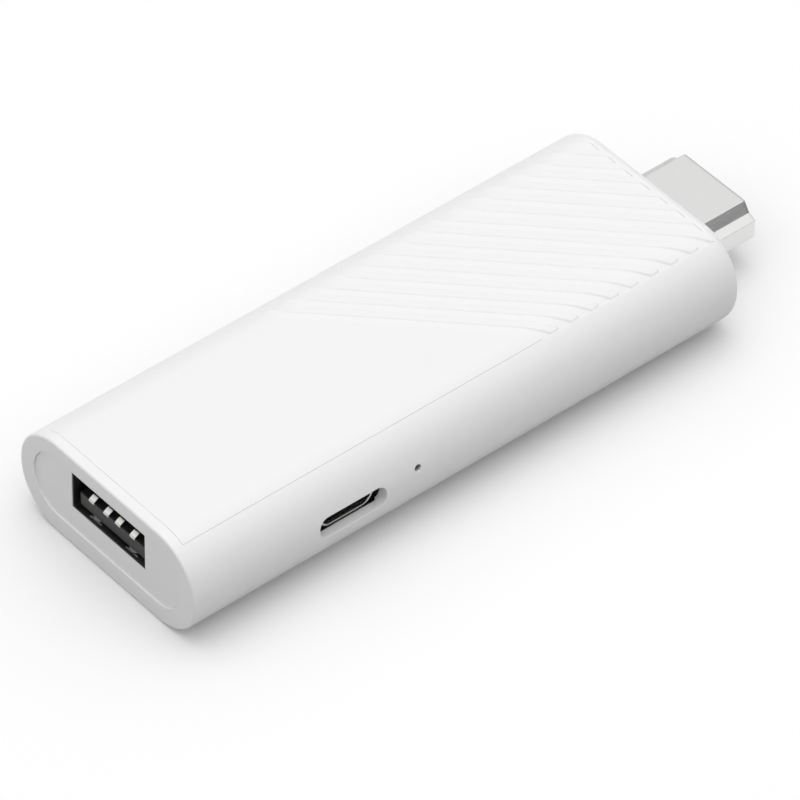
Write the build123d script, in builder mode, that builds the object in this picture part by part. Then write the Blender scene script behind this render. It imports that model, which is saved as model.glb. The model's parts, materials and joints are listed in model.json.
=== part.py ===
from build123d import *

import math
import os

# Streaming stick in millimetres: +X towards the HDMI plug, +Y away from the
# micro-USB side, +Z up through the ribbed cover. The origin is the centre of
# the whole stick's footprint, at the height of the surface that it rests on.
# Distances called xs, start, end or place are measured from the USB end.

# Overall sizes of the body and the plug
body_length = 78.0
body_width = 30.0
body_height = 13.0
side_flat = 0.4
plug_reach = 9.2
usb_edge_radius = 0.3
plug_edge_radius = 1.5

# Walls of the housing
wall = 1.4
usb_end_wall = 2.2
plug_end_wall = 2.0
shoulder_depth = 3.2
ledge_depth = 1.5
ledge_width = 1.0

# Inset top cover and its diagonal ribs
cover_side_margin = 3.6
cover_usb_margin = 1.4
cover_plug_margin = 1.3
seam_gap = 0.1
groove_depth = 0.28
groove_start = 40.3
rib_pitch = 2.06
rib_width = 1.06
rib_tip_radius = 0.35
rib_angle = -45.0

# Snap hooks and press ribs under the cover
hook_width = 4.0
hook_thickness = 0.9
hook_barb = 0.5
hook_barb_height = 0.7
hook_play = 0.1
last_hook_setback = 6.5
hook_xs = (16.0, 38.0, 57.0, body_length - last_hook_setback)
press_rib_thickness = 1.0
press_rib_length = 12.0
press_rib_xs = (44.0, 60.0)
press_gap = 0.05

# End plate round the USB-A socket
plate_side_margin = 2.3
plate_height = 8.7
plate_side_flat = 0.1
plate_centre_z = 6.8
plate_recess = 0.25
plate_thickness = 0.9
plate_lip = 0.35
plate_gap = 0.05
plate_seat = 0.9

# Main circuit board
board_thickness = 1.0
board_top_z = 5.6
board_side_margin = 4.9
board_usb_end = 3.5
board_plug_margin = 6.0
board_notch_gap = 0.15
board_corner_radius = 0.8
side_tab_start = 16.8
side_tab_end = 35.2
side_tab_margin = 2.5
solder_gap = 0.02

# Screws, bosses and rests that carry the board and the two end connectors
boss_radius = 1.9
screw_radius = 0.7
screw_fit = 0.03
board_hole_fit = 0.05
screw_length = 3.6
screw_head_radius = 1.4
screw_head_height = 0.9
screw_slot_width = 0.35
screw_slot_depth = 0.4
last_screw_setback = 7.8
screw_places = ((17.5, 8.0), (36.4, -8.2), (body_length - last_screw_setback, 8.6))
rest_radius = 1.1
last_rest_setback = 9.8
rest_places = ((6.0, 8.4), (6.0, -8.4), (body_length - last_rest_setback, -8.2))
saddle_thickness = 1.0
saddle_width = 10.0
usb_saddle_x = 8.0
plug_saddle_setback = 3.5

# USB-A socket: the standard 12.5 by 5.12 opening
usb_inner_width = 12.5
usb_inner_height = 5.12
usb_sheet = 0.3
usb_centre_z = 8.0
usb_depth = 13.6
usb_front_gap = 0.02
usb_liner_gap = 0.05
usb_tongue_width = 11.1
usb_tongue_height = 1.84
usb_tongue_lift = 0.6
usb_tongue_setback = 0.2
usb_rear_wall = 2.0
usb_contact_width = 1.0
usb_contact_thickness = 0.15
usb_contact_hook = 0.7
usb_contact_crest = 0.6
usb_contact_crest_setback = 0.7
usb_contact_foot = 1.2
usb_contact_ys = (-3.5, -1.0, 1.0, 3.5)
usb_spring_y = 3.1
usb_spring_width = 2.2
usb_spring_length = 6.0
usb_spring_front = 0.2
usb_spring_slit = 0.2
usb_spring_bulge = 0.35
usb_spring_slope = 1.2
usb_leg_width = 1.6
usb_leg_reach = 1.3
usb_leg_xs = (4.2, 10.4)

# Micro-USB socket on the long side
micro_x = 22.0
micro_opening_width = 9.3
micro_opening_height = 2.7
micro_opening_corner = 1.2
micro_recess = 1.35
micro_relief = 0.3
micro_relief_depth = 0.15
micro_shell_width = 7.5
micro_shell_height = 2.7
micro_shell_shoulder = 1.0
micro_shell_sole = 5.4
micro_shell_depth = 5.0
micro_corner_radius = 0.45
micro_sheet = 0.25
micro_liner_gap = 0.04
micro_tongue_width = 3.7
micro_tongue_thickness = 0.7
micro_tongue_lift = 1.15
micro_tongue_setback = 0.8
micro_rear_wall = 1.2
micro_contact_width = 0.4
micro_contact_thickness = 0.12
micro_contact_pitch = 0.65
micro_contact_count = 5
micro_contact_setback = 0.1
micro_contact_foot = 1.2
contact_slot_fit = 0.03

# Reset switch behind the pinhole
reset_x = 31.1
reset_z = 8.0
pinhole_radius = 0.45
switch_recess = 2.8
switch_width = 4.2
switch_height = 3.9
switch_depth = 2.8
switch_pocket_width = 3.4
switch_pocket_height = 2.3
switch_pocket_depth = 1.3
switch_cover_sheet = 0.2
switch_cheek_length = 2.2
button_width = 2.4
button_height = 1.2
button_reach = 0.8
button_edge_radius = 0.15
button_flange = 0.35
button_flange_thickness = 0.4
button_play = 0.06
button_travel = 0.25
dome_radius = 0.95
dome_sheet = 0.08
dome_clearance = 0.05

# HDMI type A plug: 13.9 by 4.45, narrow side up
hdmi_width = 13.9
hdmi_height = 4.45
hdmi_bottom_z = 3.55
hdmi_flat_width = 10.1
hdmi_shelf_reach = 1.03
hdmi_shelf_drop = 0.49
hdmi_steep_drop = 1.24
hdmi_bottom_radius = 0.5
hdmi_sheet = 0.3
hdmi_tip_radius = 0.2
hdmi_shell_depth = 5.3
hdmi_wall_gap = 0.12
hdmi_liner_gap = 0.04
hdmi_liner_start = 0.2
hdmi_liner_setback = 0.7
hdmi_spacer_length = 2.0
hdmi_slot_width = 10.9
hdmi_slot_height = 1.75
hdmi_contact_width = 0.4
hdmi_contact_thickness = 0.15
hdmi_contact_pitch = 1.0
hdmi_upper_contacts = 9
hdmi_lower_contacts = 10
hdmi_contact_setback = 0.8
hdmi_contact_bend = 0.35
hdmi_tail_length = 1.9
hdmi_ear_length = 3.4
hdmi_ear_width = 1.4
hdmi_ear_overlap = 0.1

# Chips and shielding on the top of the board
shield_start = 39.0
shield_length = 27.0
shield_width = 17.2
shield_height = 1.8
shield_sheet = 0.2
shield_flange = 0.8
shield_fit = 0.05
shield_skirt = 1.2
shield_vent_radius = 0.5
shield_vent_pitch = 2.0
shield_vent_count = 7
shield_vent_setback = 1.2
processor_x = 47.4
processor_size = 14.0
processor_height = 1.2
memory_x = 60.0
memory_length = 9.0
memory_width = 7.4
memory_height = 1.0
memory_y = 4.0
package_corner = 0.3
pad_margin = 1.0
spreader_pad_length = 22.0
spreader_pad_width = 14.0
spreader_pad_thickness = 0.8
spreader_length = 30.0
spreader_width = 18.0
spreader_thickness = 1.2
spreader_flange_height = 1.0
spreader_flange_thickness = 0.8

# Power parts, placed by their distance from the USB-A socket's rear
inductor_size = 4.0
inductor_height = 1.9
inductor_corner = 0.8
inductor_places = ((6.0, -3.2), (6.0, 2.0), (11.4, 2.0))
power_chip_place = (12.8, -4.0)
power_chip_size = 5.0
power_chip_height = 0.85

# Filter capacitors, clock and small parts
capacitor_length = 3.2
capacitor_width = 1.6
capacitor_height = 1.6
capacitor_places = ((22.4, 7.0), (27.0, 7.0), (31.6, 7.0))
crystal_place = (32.6, 1.8)
crystal_length = 3.2
crystal_width = 2.5
crystal_height = 0.8
small_length = 1.0
small_width = 0.5
small_height = 0.5
small_pitch = 1.1
small_count = 8
small_top_setback = 9.7
small_bottom_x = 61.5

# Chips on the underside of the board
storage_place = (51.0, 0.0)
storage_length = 11.5
storage_width = 13.0
storage_height = 1.0
wifi_place = (28.0, 0.0)
wifi_size = 12.0
wifi_board_thickness = 0.8
wifi_can_inset = 0.4
wifi_can_height = 1.4

# Stamped antennas on the two arms beside the USB-A socket
antenna_margin = 5.55
antenna_sheet = 0.3
antenna_start = 4.6
antenna_length = 8.6
antenna_height = 3.0
antenna_strip = 1.2
antenna_leg = 0.9
antenna_leg_spacing = 2.9

# Places and sizes worked out from the ones above
overall_length = body_length + plug_reach
usb_end_x = -overall_length / 2
plug_end_x = usb_end_x + body_length
tip_x = usb_end_x + overall_length
corner_radius = (body_height - side_flat) / 2
shoulder_z = body_height - shoulder_depth
ledge_z = body_height - ledge_depth
opening_depth = ledge_z - shoulder_z
inner_length = body_length - usb_end_wall - plug_end_wall
cover_width = body_width - 2 * cover_side_margin
cover_length = body_length - cover_usb_margin - cover_plug_margin
cover_mid_x = usb_end_x + cover_usb_margin + cover_length / 2
top_opening_width = cover_width - 2 * ledge_width
plate_width = body_width - 2 * plate_side_margin
plate_corner = (plate_height - plate_side_flat) / 2
board_bottom_z = board_top_z - board_thickness
board_width = body_width - 2 * board_side_margin
board_plug_end = body_length - board_plug_margin
side_tab_reach = body_width / 2 - side_tab_margin
chip_z = board_top_z + solder_gap
under_chip_z = board_bottom_z - solder_gap

rib_step = rib_pitch / math.cos(math.radians(rib_angle))
rib_width_x = rib_width / math.cos(math.radians(rib_angle))
first_rib_x = groove_start + rib_step - rib_width_x / 2
last_rib_limit = body_length - cover_plug_margin + cover_width / 2 - rib_width_x
rib_count = math.floor((last_rib_limit - first_rib_x) / rib_step) + 1

usb_outer_width = usb_inner_width + 2 * usb_sheet
usb_outer_height = usb_inner_height + 2 * usb_sheet
usb_front_x = usb_end_x + plate_recess + plate_lip + usb_front_gap
usb_rear_x = usb_front_x + usb_depth
usb_floor_z = usb_centre_z - usb_inner_height / 2
usb_tongue_x = usb_front_x + usb_tongue_setback
usb_tongue_top_z = usb_floor_z + usb_tongue_lift + usb_tongue_height

micro_mid_x = usb_end_x + micro_x
micro_front = body_width / 2 - micro_recess
micro_rear = micro_front - micro_shell_depth
micro_opening_z = chip_z + micro_shell_height / 2
micro_tongue_z = chip_z + micro_tongue_lift

reset_mid_x = usb_end_x + reset_x
switch_front = body_width / 2 - switch_recess
switch_back = switch_front - switch_depth
switch_face = switch_front - switch_cover_sheet
pocket_floor = switch_face - switch_pocket_depth
flange_front = switch_face - solder_gap
flange_back = flange_front - button_flange_thickness
dome_rise = flange_back - button_travel - dome_clearance - pocket_floor
dome_sphere = (dome_radius**2 + dome_rise**2) / (2 * dome_rise)

hdmi_start_x = plug_end_x - hdmi_shell_depth
hdmi_slot_z = hdmi_bottom_z + hdmi_height / 2
hdmi_bend_x = hdmi_start_x - hdmi_contact_bend

shield_top_z = chip_z + shield_height
shield_mid_x = usb_end_x + shield_start + shield_length / 2
spreader_pad_z = shield_top_z + shield_sheet
spreader_z = spreader_pad_z + spreader_pad_thickness
antenna_y = body_width / 2 - antenna_margin

parts_folder = "parts"
MIN_Z = (Align.CENTER, Align.CENTER, Align.MIN)
MAX_Z = (Align.CENTER, Align.CENTER, Align.MAX)


def from_usb_end(place, z):
    """The point at height z over a place given as distance from the USB end and y."""
    distance, y = place
    return (usb_end_x + distance, y, z)


def behind_usb(place):
    """The point on the board at a distance behind the USB-A socket's rear and a y."""
    distance, y = place
    return (usb_rear_x + distance, y, chip_z)


def save(piece, name):
    """Label a finished piece and write its STEP file."""
    piece.part.label = name
    export_step(piece.part, os.path.join(parts_folder, name + ".step"))


def block(x, y, z, length, width, height, mode=Mode.ADD):
    """A box standing on height z with its middle over x and y."""
    with Locations((x, y, z)):
        Box(length, width, height, align=MIN_Z, mode=mode)


def hanging_block(x, y, z, length, width, height, mode=Mode.ADD):
    """A box hanging from height z with its middle under x and y."""
    with Locations((x, y, z)):
        Box(length, width, height, align=MAX_Z, mode=mode)


def row(count, pitch):
    """Offsets of a number of things spaced by pitch about the middle."""
    return [(number - (count - 1) / 2) * pitch for number in range(count)]


def across(ys, width):
    """Planes for side views of strips that are extruded by width about each y."""
    return [Plane.XZ.offset(-y - width / 2) for y in ys]


def hdmi_outline(inset):
    """Plug section across the stick, its narrow flat up, drawn in by inset."""
    half_width = hdmi_width / 2
    shelf_y = half_width - hdmi_shelf_reach
    flat_y = hdmi_flat_width / 2
    top_z = hdmi_bottom_z + hdmi_height
    steep_z = top_z - hdmi_steep_drop
    side_z = steep_z - hdmi_shelf_drop
    with BuildSketch() as outline:
        with BuildLine():
            Polyline(
                (-half_width, hdmi_bottom_z),
                (half_width, hdmi_bottom_z),
                (half_width, side_z),
                (shelf_y, steep_z),
                (flat_y, top_z),
                (-flat_y, top_z),
                (-shelf_y, steep_z),
                (-half_width, side_z),
                close=True,
            )
        make_face()
        fillet(outline.vertices().group_by(Axis.Y)[0], hdmi_bottom_radius)
        if inset:
            offset(amount=-inset)
    return outline.sketch_local


def micro_outline(inset):
    """Micro-USB mouth seen from its own side, wide side up, drawn in by inset."""
    half_width = micro_shell_width / 2
    half_sole = micro_shell_sole / 2
    step_z = chip_z + micro_shell_shoulder
    top_z = chip_z + micro_shell_height
    with BuildSketch() as outline:
        with BuildLine():
            Polyline(
                (micro_mid_x - half_sole, chip_z),
                (micro_mid_x + half_sole, chip_z),
                (micro_mid_x + half_width, step_z),
                (micro_mid_x + half_width, top_z),
                (micro_mid_x - half_width, top_z),
                (micro_mid_x - half_width, step_z),
                close=True,
            )
        make_face()
        fillet(outline.vertices(), micro_corner_radius)
        if inset:
            offset(amount=-inset)
    return outline.sketch_local


def usb_finger(level, into_socket):
    """Side view of a spring finger in the wall at a level, bulging into the socket."""
    nose_x = usb_front_x + usb_spring_front + usb_spring_slit
    bulge_x = nose_x + usb_spring_slope
    foot_x = bulge_x + usb_spring_slope
    root_x = usb_front_x + usb_spring_front + usb_spring_length
    outside = level - into_socket * usb_sheet
    rise = into_socket * usb_spring_bulge
    Polyline(
        (root_x, outside),
        (root_x, level),
        (foot_x, level),
        (bulge_x, level + rise),
        (nose_x, level),
        (nose_x, outside),
        (bulge_x, outside + rise),
        (foot_x, outside),
        close=True,
    )


def hdmi_strip(run_z, foot_z):
    """Side view of a plug contact: a run from the tip, a step and a foot on the board."""
    run_length = tip_x - hdmi_contact_setback - hdmi_bend_x
    step_height = abs(run_z - foot_z) + hdmi_contact_thickness
    with Locations((hdmi_bend_x, run_z)):
        Rectangle(run_length, hdmi_contact_thickness, align=Align.MIN)
    with Locations((hdmi_bend_x, min(run_z, foot_z))):
        Rectangle(hdmi_contact_thickness, step_height, align=Align.MIN)
    with Locations((hdmi_bend_x, foot_z)):
        Rectangle(hdmi_tail_length, hdmi_contact_thickness, align=(Align.MAX, Align.MIN))


os.makedirs(parts_folder, exist_ok=True)

# The smooth outer form, which the housing and the cover share
with BuildPart() as body_form:
    with BuildSketch(Plane.YZ.offset(usb_end_x)):
        with Locations((0, body_height / 2)):
            RectangleRounded(body_width, body_height, corner_radius)
    extrude(amount=body_length)
    fillet(body_form.faces().sort_by(Axis.X)[0].edges(), usb_edge_radius)
    fillet(body_form.faces().sort_by(Axis.X)[-1].edges(), plug_edge_radius)

# The same form one groove deeper, which the bottoms of the grooves follow
with BuildPart() as groove_floor:
    with BuildSketch(Plane.YZ.offset(usb_end_x)):
        with Locations((0, body_height / 2)):
            RectangleRounded(
                body_width - 2 * groove_depth,
                body_height - 2 * groove_depth,
                corner_radius - groove_depth,
            )
    extrude(amount=body_length)

# Housing: floor, round sides, both ends and the ledge that the cover lies on
with BuildPart() as housing:
    add(body_form.part)
    with BuildSketch(Plane.YZ.offset(usb_end_x + usb_end_wall)):
        with Locations((0, body_height / 2)):
            RectangleRounded(body_width - 2 * wall, body_height - 2 * wall, corner_radius - wall)
        with Locations((0, shoulder_z)):
            Rectangle(body_width, body_height, align=(Align.CENTER, Align.MIN), mode=Mode.SUBTRACT)
    extrude(amount=inner_length, mode=Mode.SUBTRACT)
    with Locations((usb_end_x + usb_end_wall, 0, shoulder_z)):
        Box(
            inner_length,
            top_opening_width,
            opening_depth,
            align=(Align.MIN, Align.CENTER, Align.MIN),
            mode=Mode.SUBTRACT,
        )
    block(cover_mid_x, 0, ledge_z, cover_length, cover_width, body_height, mode=Mode.SUBTRACT)
    # Recess and doorway of the end plate
    with BuildSketch(Plane.YZ.offset(usb_end_x)):
        with Locations((0, plate_centre_z)):
            RectangleRounded(plate_width, plate_height, plate_corner)
    extrude(amount=plate_recess + plate_thickness, mode=Mode.SUBTRACT)
    with BuildSketch(Plane.YZ.offset(usb_end_x)):
        with Locations((0, plate_centre_z)):
            RectangleRounded(
                plate_width - 2 * plate_seat,
                plate_height - 2 * plate_seat,
                plate_corner - plate_seat,
            )
        with Locations((0, usb_centre_z)):
            Rectangle(usb_outer_width + 4 * plate_gap, usb_outer_height + 4 * plate_gap)
    extrude(amount=usb_end_wall, mode=Mode.SUBTRACT)
    # Doorway of the plug
    with BuildSketch(Plane.YZ.offset(plug_end_x - plug_end_wall)):
        add(hdmi_outline(-hdmi_wall_gap))
    extrude(amount=plug_end_wall, mode=Mode.SUBTRACT)
    # Micro-USB opening, with a relief inside it for the socket's mouth
    with BuildSketch(Plane.XZ.offset(side_tab_reach)):
        with Locations((micro_mid_x, micro_opening_z)):
            RectangleRounded(micro_opening_width, micro_opening_height, micro_opening_corner)
    extrude(amount=body_width / 2, mode=Mode.SUBTRACT)
    with BuildSketch(Plane.XZ.offset(side_tab_reach)):
        with Locations((micro_mid_x, micro_opening_z)):
            Rectangle(micro_shell_width + 2 * micro_relief, micro_shell_height + 2 * micro_relief)
    extrude(amount=micro_front + micro_relief_depth - side_tab_reach, mode=Mode.SUBTRACT)
    # Pinhole in front of the reset switch
    with BuildSketch(Plane.XZ.offset(switch_front)):
        with Locations((reset_mid_x, reset_z)):
            Circle(pinhole_radius)
    extrude(amount=body_width / 2, mode=Mode.SUBTRACT)
    # Screw bosses, plain rests and saddles on the floor
    post_height = board_bottom_z - wall
    with Locations(*[from_usb_end(place, wall) for place in screw_places]):
        Cylinder(boss_radius, post_height, align=MIN_Z)
        Cylinder(screw_radius + screw_fit, post_height, align=MIN_Z, mode=Mode.SUBTRACT)
    with Locations(*[from_usb_end(place, wall) for place in rest_places]):
        Cylinder(rest_radius, post_height, align=MIN_Z)
    usb_saddle_height = usb_floor_z - usb_sheet - usb_liner_gap - wall
    plug_saddle_height = hdmi_bottom_z - hdmi_wall_gap - wall
    saddle_size = (saddle_thickness, saddle_width)
    block(usb_end_x + usb_saddle_x, 0, wall, *saddle_size, usb_saddle_height)
    block(plug_end_x - plug_saddle_setback, 0, wall, *saddle_size, plug_saddle_height)
save(housing, "housing")

# Ribs in plan: diagonal bands clipped to the cover, their tips rounded by
# drawing them in and out again
with BuildSketch(Plane.XY.offset(ledge_z)) as ribs:
    with Locations(
        *[(usb_end_x + first_rib_x + number * rib_step, 0) for number in range(rib_count)]
    ):
        Rectangle(4 * cover_width, rib_width, rotation=rib_angle)
    with Locations((cover_mid_x, 0)):
        Rectangle(cover_length - 2 * seam_gap, cover_width - 2 * seam_gap, mode=Mode.INTERSECT)
    offset(amount=-rib_tip_radius)
    offset(amount=rib_tip_radius)

# Grooves: all of the ribbed zone that the ribs leave free, down to the groove floor
with BuildPart() as grooves:
    with BuildSketch(Plane.XY.offset(ledge_z)):
        with Locations((usb_end_x + groove_start, 0)):
            Rectangle(
                2 * body_length,
                2 * body_length,
                rotation=rib_angle,
                align=(Align.CENTER, Align.MIN),
            )
        with Locations((cover_mid_x, 0)):
            Rectangle(cover_length, cover_width, mode=Mode.INTERSECT)
        add(ribs.sketch_local, mode=Mode.SUBTRACT)
    extrude(amount=body_height)
    add(groove_floor.part, mode=Mode.SUBTRACT)

# Top cover: the ribbed lid, its snap hooks and the ribs that press on the heat spreader
with BuildPart() as top_cover:
    add(body_form.part)
    with Locations((cover_mid_x, 0, ledge_z)):
        Box(
            cover_length - 2 * seam_gap,
            cover_width - 2 * seam_gap,
            body_height,
            align=MIN_Z,
            mode=Mode.INTERSECT,
        )
    add(grooves.part, mode=Mode.SUBTRACT)
    hook_outer = top_opening_width / 2 - hook_play
    hook_inner = hook_outer - hook_thickness
    catch_z = shoulder_z - hook_play
    with BuildSketch(*[Plane.YZ.offset(usb_end_x + x - hook_width / 2) for x in hook_xs]):
        with BuildLine():
            Polyline(
                (hook_inner, ledge_z),
                (hook_outer, ledge_z),
                (hook_outer, catch_z),
                (hook_outer + hook_play + hook_barb, catch_z),
                (hook_outer, catch_z - hook_barb_height),
                (hook_inner, catch_z - hook_barb_height),
                close=True,
            )
        make_face()
        mirror(about=Plane.YZ)
    extrude(amount=hook_width)
    press_drop = ledge_z - spreader_z - spreader_thickness - press_gap
    for press_x in press_rib_xs:
        hanging_block(
            usb_end_x + press_x, 0, ledge_z, press_rib_thickness, press_rib_length, press_drop
        )
save(top_cover, "top_cover")

# End plate: a lipped plate whose opening frames the USB-A socket
with BuildPart() as usb_end_plate:
    with BuildSketch(Plane.YZ.offset(usb_end_x + plate_recess)):
        with Locations((0, plate_centre_z)):
            RectangleRounded(
                plate_width - 2 * plate_gap,
                plate_height - 2 * plate_gap,
                plate_corner - plate_gap,
            )
        with Locations((0, usb_centre_z)):
            Rectangle(usb_inner_width, usb_inner_height, mode=Mode.SUBTRACT)
    extrude(amount=plate_thickness)
    with BuildSketch(Plane.YZ.offset(usb_end_x + plate_recess + plate_lip)):
        with Locations((0, usb_centre_z)):
            Rectangle(usb_outer_width + 2 * plate_gap, usb_outer_height + 2 * plate_gap)
    extrude(amount=plate_thickness, mode=Mode.SUBTRACT)
save(usb_end_plate, "usb_end_plate")

# Main board: arms beside the USB-A socket and a tab under the side parts
with BuildPart() as main_board:
    with BuildSketch(Plane.XY.offset(board_bottom_z)) as board_plan:
        with Locations((usb_end_x + board_usb_end, 0)):
            Rectangle(
                board_plug_end - board_usb_end, board_width, align=(Align.MIN, Align.CENTER)
            )
        with Locations((usb_end_x + side_tab_start, 0)):
            Rectangle(
                side_tab_end - side_tab_start, side_tab_reach, align=(Align.MIN, Align.MAX)
            )
        fillet(board_plan.vertices(), board_corner_radius)
        with Locations((usb_rear_x + board_notch_gap, 0)):
            Rectangle(
                body_width,
                usb_outer_width + 2 * board_notch_gap,
                align=(Align.MAX, Align.CENTER),
                mode=Mode.SUBTRACT,
            )
        with Locations(*[(usb_end_x + x, y) for x, y in screw_places]):
            Circle(screw_radius + board_hole_fit, mode=Mode.SUBTRACT)
    extrude(amount=board_thickness)
save(main_board, "main_board")

# Screws: slotted pan heads on the board, shanks down in the bosses
with BuildPart() as board_screws:
    with Locations(*[from_usb_end(place, board_top_z) for place in screw_places]):
        Cylinder(screw_head_radius, screw_head_height, align=MIN_Z)
        Cylinder(screw_radius, screw_length, align=MAX_Z)
    for place in screw_places:
        slot_place = from_usb_end(place, board_top_z + screw_head_height)
        slot_size = (2 * screw_head_radius, screw_slot_width, screw_slot_depth)
        hanging_block(*slot_place, *slot_size, mode=Mode.SUBTRACT)
save(board_screws, "board_screws")

# USB-A shell: folded steel box with spring fingers and solder legs
finger_width = usb_spring_width - 2 * usb_spring_slit
with BuildPart() as usb_a_shell:
    with BuildSketch(Plane.YZ.offset(usb_front_x)):
        with Locations((0, usb_centre_z)):
            RectangleRounded(usb_outer_width, usb_outer_height, 2 * usb_sheet)
            RectangleRounded(usb_inner_width, usb_inner_height, usb_sheet, mode=Mode.SUBTRACT)
    extrude(amount=usb_depth)
    with Locations(
        (usb_front_x + usb_spring_front, -usb_spring_y, usb_centre_z),
        (usb_front_x + usb_spring_front, usb_spring_y, usb_centre_z),
    ):
        Box(
            usb_spring_length,
            usb_spring_width,
            2 * usb_outer_height,
            align=(Align.MIN, Align.CENTER, Align.CENTER),
            mode=Mode.SUBTRACT,
        )
    with BuildSketch(*across((-usb_spring_y, usb_spring_y), finger_width)):
        with BuildLine():
            usb_finger(usb_floor_z, 1)
        make_face()
        with BuildLine():
            usb_finger(usb_floor_z + usb_inner_height, -1)
        make_face()
    extrude(amount=finger_width)
    leg_y = (usb_inner_width + usb_sheet + usb_leg_reach) / 2 + usb_sheet / 2
    for leg_x in usb_leg_xs:
        for side in (-1, 1):
            leg_place = (usb_end_x + leg_x, side * leg_y, chip_z)
            block(*leg_place, usb_leg_width, usb_leg_reach + usb_sheet, usb_sheet)
save(usb_a_shell, "usb_a_shell")

# USB-A tongue: the insulator's rear wall and the blade that carries the contacts
with BuildPart() as usb_a_tongue:
    with Locations((usb_rear_x, 0, usb_centre_z)):
        Box(
            usb_rear_wall,
            usb_inner_width - 2 * usb_liner_gap,
            usb_inner_height - 2 * usb_liner_gap,
            align=(Align.MAX, Align.CENTER, Align.CENTER),
        )
    fillet(usb_a_tongue.edges().filter_by(Axis.X), usb_sheet)
    with Locations((usb_tongue_x, 0, usb_tongue_top_z)):
        Box(
            usb_rear_x - usb_tongue_x,
            usb_tongue_width,
            usb_tongue_height,
            align=(Align.MIN, Align.CENTER, Align.MAX),
        )
    with Locations(*[(usb_rear_x, y, usb_tongue_top_z) for y in usb_contact_ys]):
        Box(
            usb_rear_wall,
            usb_contact_width + 2 * contact_slot_fit,
            usb_contact_thickness + contact_slot_fit,
            align=(Align.MAX, Align.CENTER, Align.MIN),
            mode=Mode.SUBTRACT,
        )
save(usb_a_tongue, "usb_a_tongue")

# USB-A contacts: sprung noses over the tongue's front, feet on the board
with BuildPart() as usb_a_contacts:
    crest_x = usb_tongue_x + usb_contact_crest_setback
    settle_x = crest_x + usb_contact_crest_setback
    bend_x = usb_rear_x + board_notch_gap
    strip_top_z = usb_tongue_top_z + usb_contact_thickness
    hook_end_z = usb_tongue_top_z - usb_contact_hook
    with BuildSketch(*across(usb_contact_ys, usb_contact_width)):
        with BuildLine():
            Polyline(
                (usb_tongue_x - usb_contact_thickness, hook_end_z),
                (usb_tongue_x - usb_contact_thickness, usb_tongue_top_z),
                (crest_x, usb_tongue_top_z + usb_contact_crest),
                (settle_x, strip_top_z),
                (bend_x + usb_contact_thickness, strip_top_z),
                (bend_x + usb_contact_thickness, chip_z + usb_contact_thickness),
                (bend_x + usb_contact_foot, chip_z + usb_contact_thickness),
                (bend_x + usb_contact_foot, chip_z),
                (bend_x, chip_z),
                (bend_x, usb_tongue_top_z),
                (settle_x, usb_tongue_top_z),
                (crest_x, usb_tongue_top_z + usb_contact_crest - usb_contact_thickness),
                (usb_tongue_x, usb_tongue_top_z),
                (usb_tongue_x, hook_end_z),
                close=True,
            )
        make_face()
    extrude(amount=usb_contact_width)
save(usb_a_contacts, "usb_a_contacts")

# Micro-USB shell: folded steel sleeve lying on the board
with BuildPart() as micro_usb_shell:
    with BuildSketch(Plane.XZ.offset(micro_rear)):
        add(micro_outline(0))
        add(micro_outline(micro_sheet), mode=Mode.SUBTRACT)
    extrude(amount=micro_shell_depth)
save(micro_usb_shell, "micro_usb_shell")

# Micro-USB tongue: rear wall and blade, with slots where the contacts pass the wall
micro_contact_xs = [micro_mid_x + x for x in row(micro_contact_count, micro_contact_pitch)]
with BuildPart() as micro_usb_tongue:
    with BuildSketch(Plane.XZ.offset(micro_rear)):
        add(micro_outline(micro_sheet + micro_liner_gap))
    extrude(amount=micro_rear_wall)
    with Locations((micro_mid_x, -micro_rear, micro_tongue_z)):
        Box(
            micro_tongue_width,
            micro_shell_depth - micro_tongue_setback,
            micro_tongue_thickness,
            align=(Align.CENTER, Align.MAX, Align.MIN),
        )
    with Locations(*[(x, -micro_rear, micro_tongue_z) for x in micro_contact_xs]):
        Box(
            micro_contact_width + 2 * contact_slot_fit,
            micro_rear_wall,
            micro_contact_thickness + contact_slot_fit,
            align=(Align.CENTER, Align.MAX, Align.MAX),
            mode=Mode.SUBTRACT,
        )
save(micro_usb_tongue, "micro_usb_tongue")

# Micro-USB contacts: flat strips under the tongue, feet on the board
with BuildPart() as micro_usb_contacts:
    strip_front_y = micro_tongue_setback + micro_contact_setback - micro_front
    strip_bend_y = micro_contact_thickness - micro_rear
    strip_bottom_z = micro_tongue_z - micro_contact_thickness
    with BuildSketch(*[Plane.YZ.offset(x - micro_contact_width / 2) for x in micro_contact_xs]):
        with BuildLine():
            Polyline(
                (strip_front_y, micro_tongue_z),
                (strip_bend_y + micro_contact_thickness, micro_tongue_z),
                (strip_bend_y + micro_contact_thickness, chip_z + micro_contact_thickness),
                (strip_bend_y + micro_contact_foot, chip_z + micro_contact_thickness),
                (strip_bend_y + micro_contact_foot, chip_z),
                (strip_bend_y, chip_z),
                (strip_bend_y, strip_bottom_z),
                (strip_front_y, strip_bottom_z),
                close=True,
            )
        make_face()
    extrude(amount=micro_contact_width)
save(micro_usb_contacts, "micro_usb_contacts")

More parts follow.
